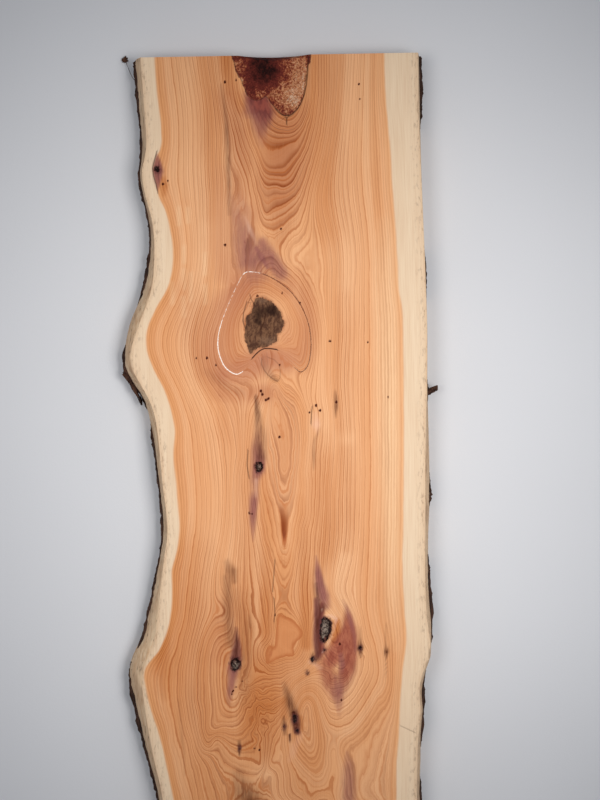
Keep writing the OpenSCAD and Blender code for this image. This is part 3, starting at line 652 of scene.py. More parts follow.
# Open knots (across, from the head end, radius), and pin knots of two sizes
knots = [
    (-111.6, 101.1, 2.79), (-24.5, 370.4, 3.96), (33.4, 512.8, 5.04), (32.6, 518.1, 5.58),
    (31.4, 523.1, 4.68), (-48.7, 547.8, 4.86), (4, 597.8, 2.52), (5.6, 608.6, 1.8), (31.1, 536.6, 1.44),
    (64, 534.9, 1.53), (-5.6, 604.8, 1.17), (-46.4, 623, 0.99), (21.1, 544.1, 1.8), (15.9, 556.1, 1.35),
]
large_pins = [
    (-49, 23.4), (-51.6, 170.1), (-21.5, 302.1), (-20.2, 305.2), (-17.1, 310.2), (46.1, 313.2),
    (-69.5, 271.5), (41.4, 258.2), (27.8, 316), (31.3, 320.5), (45.6, 531), (-23.1, 216.5), (-106.4, 114.3),
    (-5.5, 343.8),
]
small_pins = [
    (-39.1, 21.8), (71.5, 27.4), (72.2, 40.9), (-0.9, 156.6), (-1, 214.2), (75.6, 259.7), (-61.6, 278),
    (-4, 279), (-14.4, 308.9), (22, 322.2), (92.7, 309.5), (-34.2, 411.7), (-31.5, 412.6), (-79.4, 271.4),
    (-48.6, 568), (-12.4, 503.9), (-51.4, 571.6), (46.1, 581.4), (-52.3, 574.3), (-43.1, 562.7),
    (-101.9, 111.6), (-32.9, 623.7), (-28.5, 625.1), (15, 223.5), (87.4, 538.9),
]
large_pin, small_pin = 1.08, 0.81
pins = [(x, s, large_pin) for x, s in large_pins] + [(x, s, small_pin) for x, s in small_pins]
# Fine cracks and dark seams: strength, then the line
seams = [
    (0.6, [(24.5, 316.4), (23.7, 321.8), (23, 332.6)]),
    (0.5, [(-29.9, 215.5), (-28.6, 220), (-25.5, 224.6)]),
    (0.4, [(-20.1, 273.3), (-20.6, 277.8), (-18.4, 283.2), (-14.9, 287.8), (-10.5, 291.5), (-6, 293.8)]),
    (0.25, [(-6, 293.8), (-4.2, 290.7), (-3.6, 284.4), (-5.3, 278), (-9.3, 273.9), (-14.6, 272)]),
    (0.8, [(26.4, 1.4), (25.6, 15.8), (24.3, 26.5), (22.3, 35.5), (19.5, 42.6), (15.8, 48.9), (11.2, 53.3),
        (7.1, 55.5), (2.7, 54.1), (-0.9, 51.7), (-4, 48.1)]),
    (1, [(-29.1, 272.7), (-25.4, 268.7), (-21.7, 265.6), (-18.1, 263.9), (-12.7, 264), (-6.4, 265)]),
    (0.8, [(-16.2, 232.9), (-17.7, 240), (-21.4, 247.2)]),
    (0.6, [(-32.7, 221.8), (-36, 231.6), (-36.6, 238.8), (-34.9, 245.1)]),
    (0.75, [(6.3, 54.1), (5.7, 62.2)]),
    (0.32, [(99.2, 605.7), (111.7, 611.8)]),
    (0.5, [(-11.5, 454.4), (-13.2, 472.3), (-14.3, 483.1)]),
    (0.55, [(-13, 488.5), (-12.4, 503), (-13.4, 510.1)]),
    (0.6, [(-34.1, 355), (-35.2, 368.4), (-33.6, 380.2)]),
    (0.65, [(-111.3, 84.5), (-113.7, 92.5), (-115.6, 99.7), (-114.8, 106.9), (-112.7, 114.2),
        (-111.1, 122.3)]),
]
far_off = 9.0  # mm, for whatever lies well away from a mark


def nearest_round(rounds, stretch=0.8):
    """Distance to the nearest of some rounds that are a little longer along the grain."""
    gap = np.full(len(spot), far_off)
    for x, s, radius in rounds:
        gap = np.minimum(gap, np.hypot(spot[:, 0] - x, (spot[:, 1] - s) * stretch) - radius)
    return gap


knot_gap, pin_gap = nearest_round(knots), nearest_round(pins)
seam_gap, seam_strength = np.full(len(spot), far_off), np.zeros(len(spot))
seam_fade = 2.5
for strength, line in seams:
    far, turn, _, past = to_line(line, spot)
    nearer = far < np.abs(seam_gap)
    seam_gap = np.where(nearer, far * np.where(turn < 0, -1, 1), seam_gap)
    seam_strength = np.where(nearer, strength * np.clip(1 - past / seam_fade, 0, 1), seam_strength)
# Light and dark lumps in the pocket and the core, one of them a painted highlight on the pocket's left edge:
# (across, from the head end, reach in each, tone)
lumps_and_highlight = [
    (-15.4, 5.1, 11.7, 8.1, -0.55),
    (-7.5, 15.2, 8.1, 8.1, -0.5),
    (-21, 16.7, 7.2, 7.2, -0.45),
    (-12.1, 23.2, 6.3, 4.5, -0.25),
    (-35.2, 6.6, 5.4, 9.9, 0.2),
    (-24.8, 30.2, 6.3, 5.4, -0.2),
    (-18.6, 35.7, 3.6, 2.7, 0.5),
    (-4.2, 32.3, 7.2, 7.2, 0.1),
    (3.4, 10, 3.6, 10.8, 0.1),
    (15.9, 15.6, 6.3, 19.8, 0.5),
    (9.2, 38.9, 11.7, 11.7, 0.62),
    (22.8, 10.3, 1.8, 10.8, 0.5),
    (21.1, 27.4, 2.25, 8.1, 0.5),
    (15.5, 41.7, 2.7, 5.4, 0.4),
    # a painted highlight: a small white glint on the pocket's left edge, painted in by raising the tone
    (-34.2, 22.8, 1.35, 2.7, 0.9),
    (2.7, 24.4, 1.35, 2.7, 0.6),
    (-11.2, 229.3, 6.3, 4.5, -0.8),
    (-23, 235.4, 4.5, 9.9, -0.6),
    (-10.6, 244.7, 8.1, 6.3, 0.12),
    (-16.2, 257.2, 9, 4.5, 0.7),
    (-20.1, 221.1, 7.2, 3.6, 0.6),
    (-31.8, 224.5, 2.7, 5.4, 0.3),
]
crust_tone_and_highlight = np.zeros(len(spot))
for x, s, reach_x, reach_s, tone in lumps_and_highlight:
    crust_tone_and_highlight += tone * np.exp(-(((spot[:, 0] - x) / reach_x) ** 2) - ((spot[:, 1] - s) / reach_s) ** 2)

# The pocket's floor, the sunken core and the seams are rough: cut into the face by a little, in mm
pocket_slope, core_slope, pin_hole, highest = 3, 2.5, 0.6, 0.2
pocket_depth = np.clip(-pocket_gap / pocket_slope, 0, 1)
core_depth = np.clip(-core_gap / core_slope, 0, 1)
relief = pocket_depth * (0.45 * rough(spot, 9) + 0.3 * rough(spot, 4.5) - 0.5)
relief += core_depth * (0.4 * rough(spot, 7) + 0.25 * rough(spot, 4) - 0.2)
for gap, groove_width, groove_depth in (
    (heart_gap, 1.3, 0.6 * np.maximum(white_rim, 0.5 * dark_rim)),
    (pocket_gap, 1.3, 0.5),
    (seam_gap, 1.2, 0.6 * seam_strength),
):
    relief -= groove_depth * np.exp(-((gap / groove_width) ** 2))
relief -= 0.5 * np.clip(pin_hole - pin_gap, 0, 1)
relief -= 0.3 * np.clip(-knot_gap / 1.5, 0, 1) * (1 + rough(spot, 3))
not_rim = (column > 0) & (column < columns) & (row > 0) & (row < rows)
height = height + np.where(on_face & not_rim, np.minimum(relief, highest), 0) * millimetre
placed = np.column_stack([across, station_y[row], height])
plank.data.vertices.foreach_set("co", placed.ravel())

# What is drawn on the face is written on its corners for the finishes to read
stain_fall, stain_sunk = 14, 4  # mm, for the pocket's stain down the cut end
pocket_down = np.maximum(pocket_gap, 0) + stain_fall * depth_shares[layer] - stain_sunk
face_values = {
    "grain_across": grain_across,
    "knot_lift": carried_down(ring_lift(heart_rings[on_face])),
    "left_heartwood": eased(left_heartwood, from_head),
    "right_heartwood": eased(right_heartwood, from_head),
    "heart_gap": np.where(on_face, heart_gap, far_off),
    "core_gap": np.where(on_face, core_gap, far_off),
    "pocket_gap": np.where(on_face, pocket_gap, pocket_down),
    "flame_gap": np.where(on_face, flame_gap, far_off),
    "crust_tone_and_highlight": crust_tone_and_highlight,
    "knot_gap": np.where(on_face, knot_gap, far_off),
    "pin_gap": np.where(on_face, pin_gap, far_off),
    "seam_gap": np.where(on_face, seam_gap, far_off),
    "seam_strength": np.where(on_face, seam_strength, 0),
    "white_rim": white_rim,
    "dark_rim": dark_rim,
    "arris_gap": np.minimum(across - edge_x[0, row, 0], edge_x[1, row, 0] - across) / millimetre,
}


def spread_of(streaks):
    """Streaks run together, the strongest showing."""
    return np.max([streak(points, spot) for points in streaks], axis=0)


for stain, streaks in stains.items():
    face_values[stain] = carried_down(spread_of(streaks))
# Where the rings curl about below the knots
curls = [
    [(-39.6, 569.1, 10.8, 0.7), (-30.8, 580.1, 14.4, 1), (-23.9, 594.6, 14.4, 1),
        (-26, 610.7, 10.8, 0.7)],
    [(36.2, 556, 7.2, 0.5), (41.3, 572.3, 7.2, 0.5), (42.8, 588.5, 5.4, 0.3)],
]
ring_curl = spread_of(curls) * (0.5 * rough(spot, 24) + 0.22 * rough(spot, 12))
face_values["grain_lift"] = carried_down(ring_lift(face_rings + ring_curl[on_face]))
for name, values in face_values.items():
    layer_of_values = plank.data.attributes.new(name, "FLOAT", "POINT")
    layer_of_values.data.foreach_set("value", values.astype(np.float32))

# Which surface each facet belongs to: planed face, cross-cut end or waney slope
PLANED, CROSS_CUT, WANEY = 0, 1, 2
first_corner = np.empty(len(plank.data.polygons), int)
plank.data.polygons.foreach_get("loop_start", first_corner)
corner_vertex = np.empty(len(plank.data.loops), int)
plank.data.loops.foreach_get("vertex_index", corner_vertex)


def every_corner(test):
    """Facets whose corners all meet a test."""
    return np.minimum.reduceat(test[corner_vertex].astype(int), first_corner).astype(bool)


surface = np.full(len(first_corner), WANEY)
surface[every_corner(row == 0) | every_corner(row == rows)] = CROSS_CUT
surface[every_corner(layer == 0) | every_corner(layer == layers)] = PLANED
plank.data.polygons.foreach_set("material_index", surface)


def paint(red, green, blue):
    """A colour as it is read off a colour card, 0 to 255."""
    card = np.array([red, green, blue]) / 255
    light = np.where(card <= 0.04045, card / 12.92, ((card + 0.055) / 1.055) ** 2.4)
    return (*[float(v) for v in light], 1.0)


class Finish:
    """A finish built up step by step: each step gives back its outlet for the next."""

    def __init__(self, tree):
        self.tree = tree
        tree.nodes.clear()

    def step(self, kind, *inlets, outlet=0, **settings):
        node = self.tree.nodes.new("ShaderNode" + kind)
        for name, value in settings.items():
            setattr(node, name, value)
        for n, value in enumerate(inlets):
            if isinstance(value, bpy.types.NodeSocket):
                self.tree.links.new(value, node.inputs[n])
            elif value is not None:
                node.inputs[n].default_value = value
        return node.outputs[outlet]

    def math(self, operation, *values):
        return self.step("Math", *values, operation=operation)

    def add(self, one, other):
        return self.math("ADD", one, other)

    def less(self, one, other):
        return self.math("SUBTRACT", one, other)

    def times(self, one, other):
        return self.math("MULTIPLY", one, other)

    def most(self, one, other):
        return self.math("MAXIMUM", one, other)

    def rise(self, value, low, high, start=0.0, end=1.0):
        return self.step("MapRange", value, low, high, start, end, interpolation_type="SMOOTHSTEP")

    def blend(self, share, one, other):
        """Two colours mixed, each an outlet or read off a colour card."""
        pair = [paint(*colour) if isinstance(colour, tuple) else colour for colour in (one, other)]
        return self.step("Mix", share, *[None] * 5, *pair, outlet=2, data_type="RGBA")

    def washed(self, base, *washes):
        """A base colour with washes laid over it in turn, each a share and a colour."""
        for share, colour in washes:
            base = self.blend(share, base, colour)
        return base

    def written(self, name):
        return self.step("Attribute", outlet=2, attribute_name=name)

    def place(self):
        """Place on the piece, in millimetres."""
        spot = self.step("TexCoord", outlet=3)
        return self.step("VectorMath", spot, None, None, 1000, operation="SCALE")

    def cloud(self, place, size, detail=3.0, roughness=0.5):
        """Cloudy variation, 0 to 1 about one half, with its size along each axis in mm."""
        scaled = self.step("VectorMath", place, [1 / s for s in size], operation="MULTIPLY")
        return self.step("TexNoise", scaled, None, 1.0, detail, roughness)

    def sway(self, cloud, amount):
        """A cloud's ups and downs about nought."""
        return self.times(self.less(cloud, 0.5), amount)

    def coat(self, colour, roughness, height, depth, gloss):
        """The finish itself: colour, roughness and fine relief of the given depth in metres."""
        bump = self.tree.nodes.new("ShaderNodeBump")
        bump.inputs["Distance"].default_value = depth
        self.tree.links.new(height, bump.inputs["Height"])
        shader = self.tree.nodes.new("ShaderNodeBsdfPrincipled")
        self.tree.links.new(colour, shader.inputs["Base Color"])
        self.tree.links.new(roughness, shader.inputs["Roughness"])
        self.tree.links.new(bump.outputs[0], shader.inputs["Normal"])
        shader.inputs["Specular IOR Level"].default_value = gloss
        out = self.tree.nodes.new("ShaderNodeOutputMaterial")
        self.tree.links.new(shader.outputs[0], out.inputs["Surface"])


def new_finish(name):
    """A new material and the finish to build up in it."""
    material = bpy.data.materials.new(name)
    material.use_nodes = True
    return material, Finish(material.node_tree)


# Growth rings: a pale spring band that darkens to a thin autumn line, each year a little different
growth_rings = bpy.data.node_groups.new("growth_rings", "ShaderNodeTree")
for name in ("Across", "Above pith", "Lift", "Wobble", "Bold"):
    growth_rings.interface.new_socket(name, in_out="INPUT", socket_type="NodeSocketFloat")
for name in ("Line", "Shade", "Run", "Fibre"):
    growth_rings.interface.new_socket(name, in_out="OUTPUT", socket_type="NodeSocketFloat")
rings = Finish(growth_rings)
ring_in = growth_rings.nodes.new("NodeGroupInput").outputs
ring_out = growth_rings.nodes.new("NodeGroupOutput").inputs
squares = rings.add(rings.times(ring_in[0], ring_in[0]), rings.times(ring_in[1], ring_in[1]))
ring_reach = rings.less(rings.math("SQRT", squares), ring_in[2])
ring_number = rings.add(rings.math("DIVIDE", ring_reach, ring_width), ring_in[3])
ring_band = rings.math("FRACT", ring_number)
ring_year = rings.step("TexWhiteNoise", None, rings.math("FLOOR", ring_number), noise_dimensions="1D")
year_strength = rings.most(rings.rise(ring_year, 0.0, 1.0, 0.3, 1.0), ring_in[4])
thin_line = rings.times(rings.rise(ring_band, 0.6, 0.93), rings.rise(ring_band, 1.0, 0.94))
thin_line = rings.times(thin_line, year_strength)
half_number = rings.times(ring_number, 2.0)
half_band = rings.math("FRACT", half_number)
half_year = rings.step("TexWhiteNoise", None, rings.math("FLOOR", half_number), noise_dimensions="1D")
half_line = rings.times(rings.rise(half_band, 0.4, 0.9), rings.rise(half_band, 1.0, 0.9))
half_line = rings.times(half_line, rings.rise(half_year, 0.0, 1.0, 0.2, 0.9))
run_of_years = rings.step("TexNoise", None, rings.times(ring_number, 0.3), 1.0, 2.0, noise_dimensions="1D")
fine_run = rings.step("TexNoise", None, rings.times(ring_number, 4.3), 1.0, 2.0, 0.7, noise_dimensions="1D")
shade = rings.math("POWER", ring_band, 2.5)
for n, value in enumerate((rings.most(thin_line, half_line), shade, run_of_years, fine_run)):
    growth_rings.links.new(value, ring_out[n])


def rings_on(finish, place, lift, bold=None):
    """Autumn line, shade, run of years and fibre at a place, for a given lift of the rings."""
    height = finish.less(finish.step("SeparateXYZ", place, outlet=2), pith_height)
    wobble = finish.sway(finish.cloud(place, (9, 45, 9)), 0.5)
    shake = finish.sway(finish.cloud(place, (2.2, 7, 2.2), 2), 0.18)
    waver = finish.add(wobble, shake)
    if bold:
        waver = finish.times(waver, finish.rise(bold, 0.0, 0.7, 1.0, 0.3))
    node = finish.tree.nodes.new("ShaderNodeGroup")
    node.node_tree = growth_rings
    for n, value in enumerate((finish.written("grain_across"), height, lift, waver)):
        finish.tree.links.new(value, node.inputs[n])
    if bold:
        finish.tree.links.new(bold, node.inputs[4])
    return node.outputs


def sapwood_on(finish, place):
    """How far a place is outside the heartwood in mm, below nought within it."""
    x = finish.step("SeparateXYZ", place)
    left = finish.less(finish.written("left_heartwood"), x)
    right = finish.less(x, finish.written("right_heartwood"))
    ragged = finish.sway(finish.cloud(place, (5, 26, 5)), 1.6)
    return finish.add(finish.most(left, right), ragged)


# Planed face: heartwood with its rings, the sapwood beside it, and the fibre over both
planed, wood = new_finish("planed_yew")
place = wood.place()
heart_gap_at = wood.written("heart_gap")
outside_heart = wood.math("GREATER_THAN", heart_gap_at, 0.0)
knot_lift_at = wood.written("knot_lift")
past_knot = wood.less(wood.written("grain_lift"), knot_lift_at)
lift_at = wood.add(knot_lift_at, wood.times(outside_heart, past_knot))
tan_at, amber_at = wood.written("tan"), wood.written("amber")
busy = wood.most(tan_at, amber_at)
year_line, year_shade, year_run, year_fibre = rings_on(wood, place, lift_at, wood.times(tan_at, 0.9))
uneven = wood.rise(wood.cloud(place, (14, 60, 14), 2), 0.3, 0.65, 0.4, 1.0)
year_line = wood.times(year_line, wood.most(uneven, busy))
year_line = wood.times(year_line, wood.add(0.55, wood.times(outside_heart, 0.45)))
drift = wood.rise(wood.cloud(place, (40, 300, 40), 2), 0.3, 0.7)
fine_share = wood.times(wood.rise(year_fibre, 0.42, 0.72), wood.add(0.4, wood.times(busy, 0.45)))
shade_share = wood.add(0.1, wood.add(wood.times(tan_at, 0.42), wood.times(amber_at, 0.22)))
line_share = wood.add(0.31, wood.add(wood.times(tan_at, 0.6), wood.times(amber_at, 0.45)))
heartwood = wood.washed(
    wood.blend(drift, (236, 183, 138), (228, 168, 120)),
    (wood.rise(year_run, 0.4, 0.7, 0, 0.4), (210, 137, 80)),
    (wood.rise(year_run, 0.48, 0.25, 0, 0.2), (242, 193, 146)),
    (wood.times(amber_at, 0.85), (190, 112, 52)),
    (wood.times(tan_at, 0.85), (178, 110, 75)),
    (wood.written("cream"), (246, 214, 172)),
    (wood.written("dusk"), (176, 112, 88)),
    (fine_share, (182, 100, 46)),
    (wood.times(year_shade, shade_share), (170, 87, 38)),
    (wood.times(year_line, line_share), (126, 50, 10)),
)
# flame: one ring cut along its own surface shows as a plain tongue with a browner edge
flame_at = wood.add(wood.written("flame_gap"), wood.sway(wood.cloud(place, (3, 9, 3), 2), 2.5))
flame_wood = wood.washed(
    wood.blend(wood.rise(amber_at, 0.72, 1.05), (206, 135, 86), (182, 106, 64)),
    (wood.rise(flame_at, -4, -0.4, 0, 0.85), (178, 100, 54)),
)
sap_gap = sapwood_on(wood, place)
heartwood = wood.washed(
    heartwood,
    (wood.rise(flame_at, 0.5, -0.4, 0, 0.88), flame_wood),
    (wood.rise(sap_gap, -9, -0.5, 0, 0.25), (206, 140, 80)),
)
arris_at = wood.written("arris_gap")
dirt = wood.rise(wood.cloud(place, (2.2, 7, 2.2), 5, 0.68), 0.5, 0.68, 0, 0.6)
sapwood = wood.washed(
    wood.blend(wood.cloud(place, (6, 120, 6)), (231, 208, 179), (219, 191, 160)),
    (wood.times(year_line, 0.18), (196, 160, 122)),
    (wood.times(dirt, wood.rise(arris_at, 11, 1)), (132, 112, 96)),
    (wood.rise(arris_at, 4.5, 0, 0, 0.35), (196, 162, 128)),
)
fibre = wood.cloud(place, (0.8, 42, 0.8), 2)
fibre_share = wood.times(wood.rise(fibre, 0.35, 0.75, 0, 0.16), wood.add(1.0, wood.times(busy, 0.8)))
bare = wood.washed(heartwood, (wood.rise(sap_gap, -1.4, 1.2), sapwood), (fibre_share, (170, 108, 66)))
# stains: red patch by the large open knot, then purple, brick, pale and smoke-dark streaks
wisp = wood.cloud(place, (2.5, 20, 2.5), 3, 0.6)
patches = wood.cloud(place, (4, 10, 4), 4, 0.6)
red_wood = wood.washed(
    wood.blend(wood.rise(patches, 0.36, 0.66), (144, 62, 48), (180, 102, 76)),
    (wood.times(year_fibre, 0.5), (120, 56, 50)),
    (wood.times(year_line, 0.6), (104, 46, 40)),
)
purple_wood = wood.washed(
    wood.blend(year_line, (146, 88, 82), (98, 50, 50)),
    (wood.rise(patches, 0.4, 0.65, 0, 0.55), (118, 66, 68)),
)
brick_wood = wood.blend(wood.rise(patches, 0.4, 0.65), (112, 54, 50), (142, 72, 60))


def streaky(stain, low=0.08, high=1.0, most=1.0, unevenness=0.4):
    """How strongly a stain shows, broken up along the grain."""
    return wood.rise(wood.add(wood.written(stain), wood.sway(wisp, unevenness)), low, high, 0, most)


bare = wood.washed(
    bare,
    (streaky("red", 0.05, 0.95, 0.92), red_wood),
    (streaky("purple", most=0.92), purple_wood),
    (streaky("brick"), brick_wood),
    (streaky("pale", 0.05, 0.95, 0.9, 0.3), (232, 186, 162)),
    (wood.times(wood.written("smoke"), wood.rise(wisp, 0.36, 0.62, 0.7, 1.15)), (80, 36, 22)),
)
# heart knot's core, open knots and pins
grit = wood.cloud(place, (1.6, 2.2, 1.6), 4, 0.65)
whorl = wood.cloud(place, (7, 9, 7), 6, 0.62)
wisps = wood.cloud(place, (2.2, 6, 2.2), 4, 0.6)
gnarl = wood.cloud(place, (3.5, 4.5, 3.5), 3, 0.6)
crust_and_highlight_at = wood.written("crust_tone_and_highlight")
core_tone = wood.add(crust_and_highlight_at, wood.sway(whorl, 0.9))
core_wood = wood.washed(
    wood.blend(wood.rise(wisps, 0.4, 0.62), (84, 55, 42), (124, 88, 64)),
    (wood.rise(core_tone, 0.0, -0.6, 0, 0.8), (38, 22, 18)),
    (wood.rise(core_tone, 0.1, 0.6, 0, 0.36), (150, 116, 92)),
    (wood.rise(grit, 0.44, 0.3, 0, 0.55), (48, 32, 27)),
)
core_at = wood.add(wood.written("core_gap"), wood.sway(whorl, 11.0))
knot_at = wood.add(wood.written("knot_gap"), wood.sway(gnarl, 6.0))
knot_heart = wood.blend(wood.rise(grit, 0.4, 0.62), (46, 33, 30), (158, 140, 126))
knot_rim = wood.blend(wood.rise(wisps, 0.5, 0.66), (30, 15, 14), (100, 62, 54))
knot_wood = wood.blend(wood.rise(knot_at, -1.5, -3.3, 0, 0.85), knot_rim, knot_heart)
bare = wood.washed(
    bare,
    (wood.rise(core_at, 2.4, 0.2, 0, 0.5), (140, 88, 62)),
    (wood.rise(core_at, 0.4, -0.4), core_wood),
    (wood.rise(knot_at, 2.2, -0.4, 0, 0.75), (92, 50, 48)),
    (wood.rise(knot_at, 0.3, -0.5), knot_wood),
    (wood.rise(wood.written("pin_gap"), 0.55, -0.1), (66, 15, 2)),
)
# bark pocket: near black in the middle, red-brown round it, and a granular tan lobe on the right, with a
# painted highlight on its left edge where the tone is highest
granules = wood.cloud(place, (0.9, 0.9, 0.9), 3, 0.7)
clods = wood.cloud(place, (5, 7, 5), 6, 0.7)
crumbs = wood.cloud(place, (1.7, 2.0, 1.7), 3, 0.6)
pocket_at = wood.add(wood.written("pocket_gap"), wood.sway(clods, 5.0))
tone = wood.add(wood.add(crust_and_highlight_at, 0.34), wood.sway(clods, 1.5))
tone = wood.add(tone, wood.sway(crumbs, wood.rise(tone, 0.0, 0.7, 0.6, 2.0)))
flecks = wood.times(wood.rise(granules, 0.54, 0.68, 0, 0.7), wood.rise(tone, 0.3, 0.85, 0.03, 1.0))
pocket_fill = wood.washed(
    wood.blend(wood.rise(tone, -0.4, 0.36), (26, 12, 12), (108, 44, 36)),
    (wood.rise(tone, 0.3, 0.55), (152, 80, 52)),
    (wood.rise(tone, 0.55, 0.85), (192, 128, 88)),
    # palest where the tone is highest: real pale granules, and also the painted highlight on the pocket's
    # left edge
    (wood.rise(tone, 0.95, 1.35, 0, 0.85), (216, 180, 152)),
    (wood.rise(granules, 0.49, 0.36, 0, 0.75), (62, 26, 24)),
    (flecks, (226, 178, 148)),
)
# rims and cracks: a broken dark or white line round the heart knot, the pocket's edge, the seams
rim_at = wood.math("ABSOLUTE", wood.add(heart_gap_at, wood.sway(granules, 1.8)))
dark_at, white_at = wood.written("dark_rim"), wood.written("white_rim")
broken = wood.cloud(place, (2.5, 2.5, 2.5), 2)
dark_line = wood.times(wood.rise(rim_at, 0.55, 0.15), wood.rise(wood.add(broken, dark_at), 0.7, 1.2))
white_width = wood.add(0.26, wood.times(white_at, 0.38))
white_line = wood.rise(wood.add(broken, white_at), 0.8, 1.15)
white_line = wood.times(wood.rise(rim_at, white_width, 0.1), white_line)
pocket_rim = wood.math("ABSOLUTE", pocket_at)
seam_at = wood.math("ABSOLUTE", wood.add(wood.written("seam_gap"), wood.sway(granules, 0.5)))
seam_share = wood.times(wood.rise(seam_at, 0.9, 0.2), wood.written("seam_strength"))
bare = wood.washed(
    bare,
    (wood.rise(pocket_at, 0.4, -0.4), pocket_fill),
    (wood.times(dark_line, 0.85), (82, 48, 38)),
    (white_line, (246, 236, 226)),
    (wood.rise(pocket_rim, 0.7, 0.1, 0, 0.6), (72, 42, 36)),
    (seam_share, (66, 38, 26)),
)
open_grain = wood.most(wood.rise(pocket_at, 0.5, -0.5), wood.rise(core_at, 0.5, -0.5))
planed_roughness = wood.add(wood.rise(open_grain, 0, 1, 0.58, 0.85), wood.times(year_line, 0.08))
planed_relief = wood.add(wood.times(fibre, 0.35), wood.times(year_line, -0.25))
planed_relief = wood.add(planed_relief, wood.times(open_grain, wood.times(granules, 3.0)))
wood.coat(bare, planed_roughness, planed_relief, depth=0.00025, gloss=0.06)

# Cross-cut ends: the same rings cut square, darker and duller, with fine saw marks
cross_cut, end_wood = new_finish("end_grain_yew")
place = end_wood.place()
year_line, year_shade = rings_on(end_wood, place, end_wood.written("grain_lift"))[:2]
cloudy = end_wood.rise(end_wood.cloud(place, (30, 30, 12), 3), 0.3, 0.7)
pores = end_wood.cloud(place, (0.5, 0.5, 0.5), 3, 0.7)
saw_marks = end_wood.cloud(place, (60, 60, 0.7), 2)
end_sap = end_wood.blend(end_wood.times(year_line, 0.4), (218, 190, 156), (168, 132, 98))
end_colour = end_wood.washed(
    end_wood.blend(cloudy, (206, 142, 96), (176, 112, 72)),
    (end_wood.times(end_wood.most(year_line, year_shade), 0.7), (122, 70, 42)),
    (end_wood.rise(sapwood_on(end_wood, place), -0.5, 0.5), end_sap),
    (end_wood.rise(pores, 0.5, 0.8, 0, 0.35), (110, 70, 46)),
    (end_wood.rise(saw_marks, 0.5, 0.75, 0, 0.25), (136, 88, 58)),
    (end_wood.rise(end_wood.written("pocket_gap"), 1.5, -2, 0, 0.8), (74, 42, 36)),
)
end_roughness = end_wood.rise(pores, 0, 1, 0.65, 0.85)
end_relief = end_wood.add(end_wood.times(pores, 0.6), saw_marks)
end_wood.coat(end_colour, end_roughness, end_relief, depth=0.0003, gloss=0.2)

# Waney slopes: the skin of the log under the bark, tan to grey-brown, streaked along the grain
waney, slope = new_finish("waney_skin")
place = slope.place()
long_streak = slope.cloud(place, (3, 34, 3), 4, 0.6)
blotch = slope.cloud(place, (14, 30, 14), 3)
specks = slope.cloud(place, (2, 9, 2), 3)
skin_colour = slope.washed(
    slope.blend(slope.rise(long_streak, 0.3, 0.7), (228, 200, 166), (204, 166, 130)),
    (slope.rise(blotch, 0.5, 0.72, 0, 0.5), (150, 114, 90)),
    (slope.rise(specks, 0.6, 0.72, 0, 0.7), (84, 60, 50)),
)
skin_relief = slope.add(long_streak, slope.times(blotch, 0.5))
slope.coat(skin_colour, slope.rise(blotch, 0, 1, 0.6, 0.85), skin_relief, depth=0.0006, gloss=0.1)

for finish in (planed, cross_cut, waney):
    plank.data.materials.append(finish)
plank_crease = 0.7
take_up(plank)
bpy.ops.object.shade_smooth_by_angle(angle=plank_crease)
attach(plank, "root")
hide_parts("plank")

# The bark: thin, flaking strips still stuck to the two waney edges, dark brown over a red-brown inside.
# Each edge's strips are one piece, seated on the wood where the CAD strips are, and broken into plates.
bark_finish, crust = new_finish("yew_bark")
place = crust.place()
plates = crust.cloud(place, (7, 16, 7), 4, 0.6)
crumbs = crust.cloud(place, (1.4, 2.6, 1.4), 4, 0.65)
bark_colour = crust.washed(
    crust.blend(crust.rise(plates, 0.35, 0.65), (52, 36, 30), (88, 60, 47)),
    (crust.rise(crumbs, 0.55, 0.75, 0, 0.6), (124, 88, 68)),
    (crust.rise(crumbs, 0.45, 0.28, 0, 0.8), (30, 21, 18)),
)
bark_relief = crust.add(crumbs, crust.times(plates, 0.5))
crust.coat(bark_colour, crust.rise(crumbs, 0, 1, 0.75, 0.95), bark_relief, depth=0.0008, gloss=0.08)
bark_rng = np.random.default_rng(23)
bark_crease = 0.5
least_torn = 0.012  # a shorter or lower strip is left whole
at_cut_end = 0.001  # a strip this near a cross-cut end was sawn there, not torn
tear_reach, drop_reach, thin_reach = 0.02, 0.014, 0.008
plate_count, plate_top, crack_width = 260, 0.034, 0.0016
plate_squeeze = [0.55, 1]  # plates are longer along the log than up it
seated, least_bark, free_from = 0.0002, 0.0003, 0.0012  # height off the wood
strand_thickness = 0.00025
strand_ends, strand_bends = ((-131.4, 582, 24), (-141, 602.6, 3)), ((-3, 3, -6), (2.8, -8, 4))
crumb_size, crumb_at = [0.0023, 0.0027, 0.002], [-0.142, 0.6047, 0.0022]


def torn_back(at, mean, coarse, coarse_size, fine, fine_size, most):
    """How far an edge is torn back, in metres: the mean, two sizes of wave and the most are in mm."""
    back = mean + coarse * rough(at, coarse_size) + fine * rough(at, fine_size)
    return np.clip(back, 0, most) * millimetre


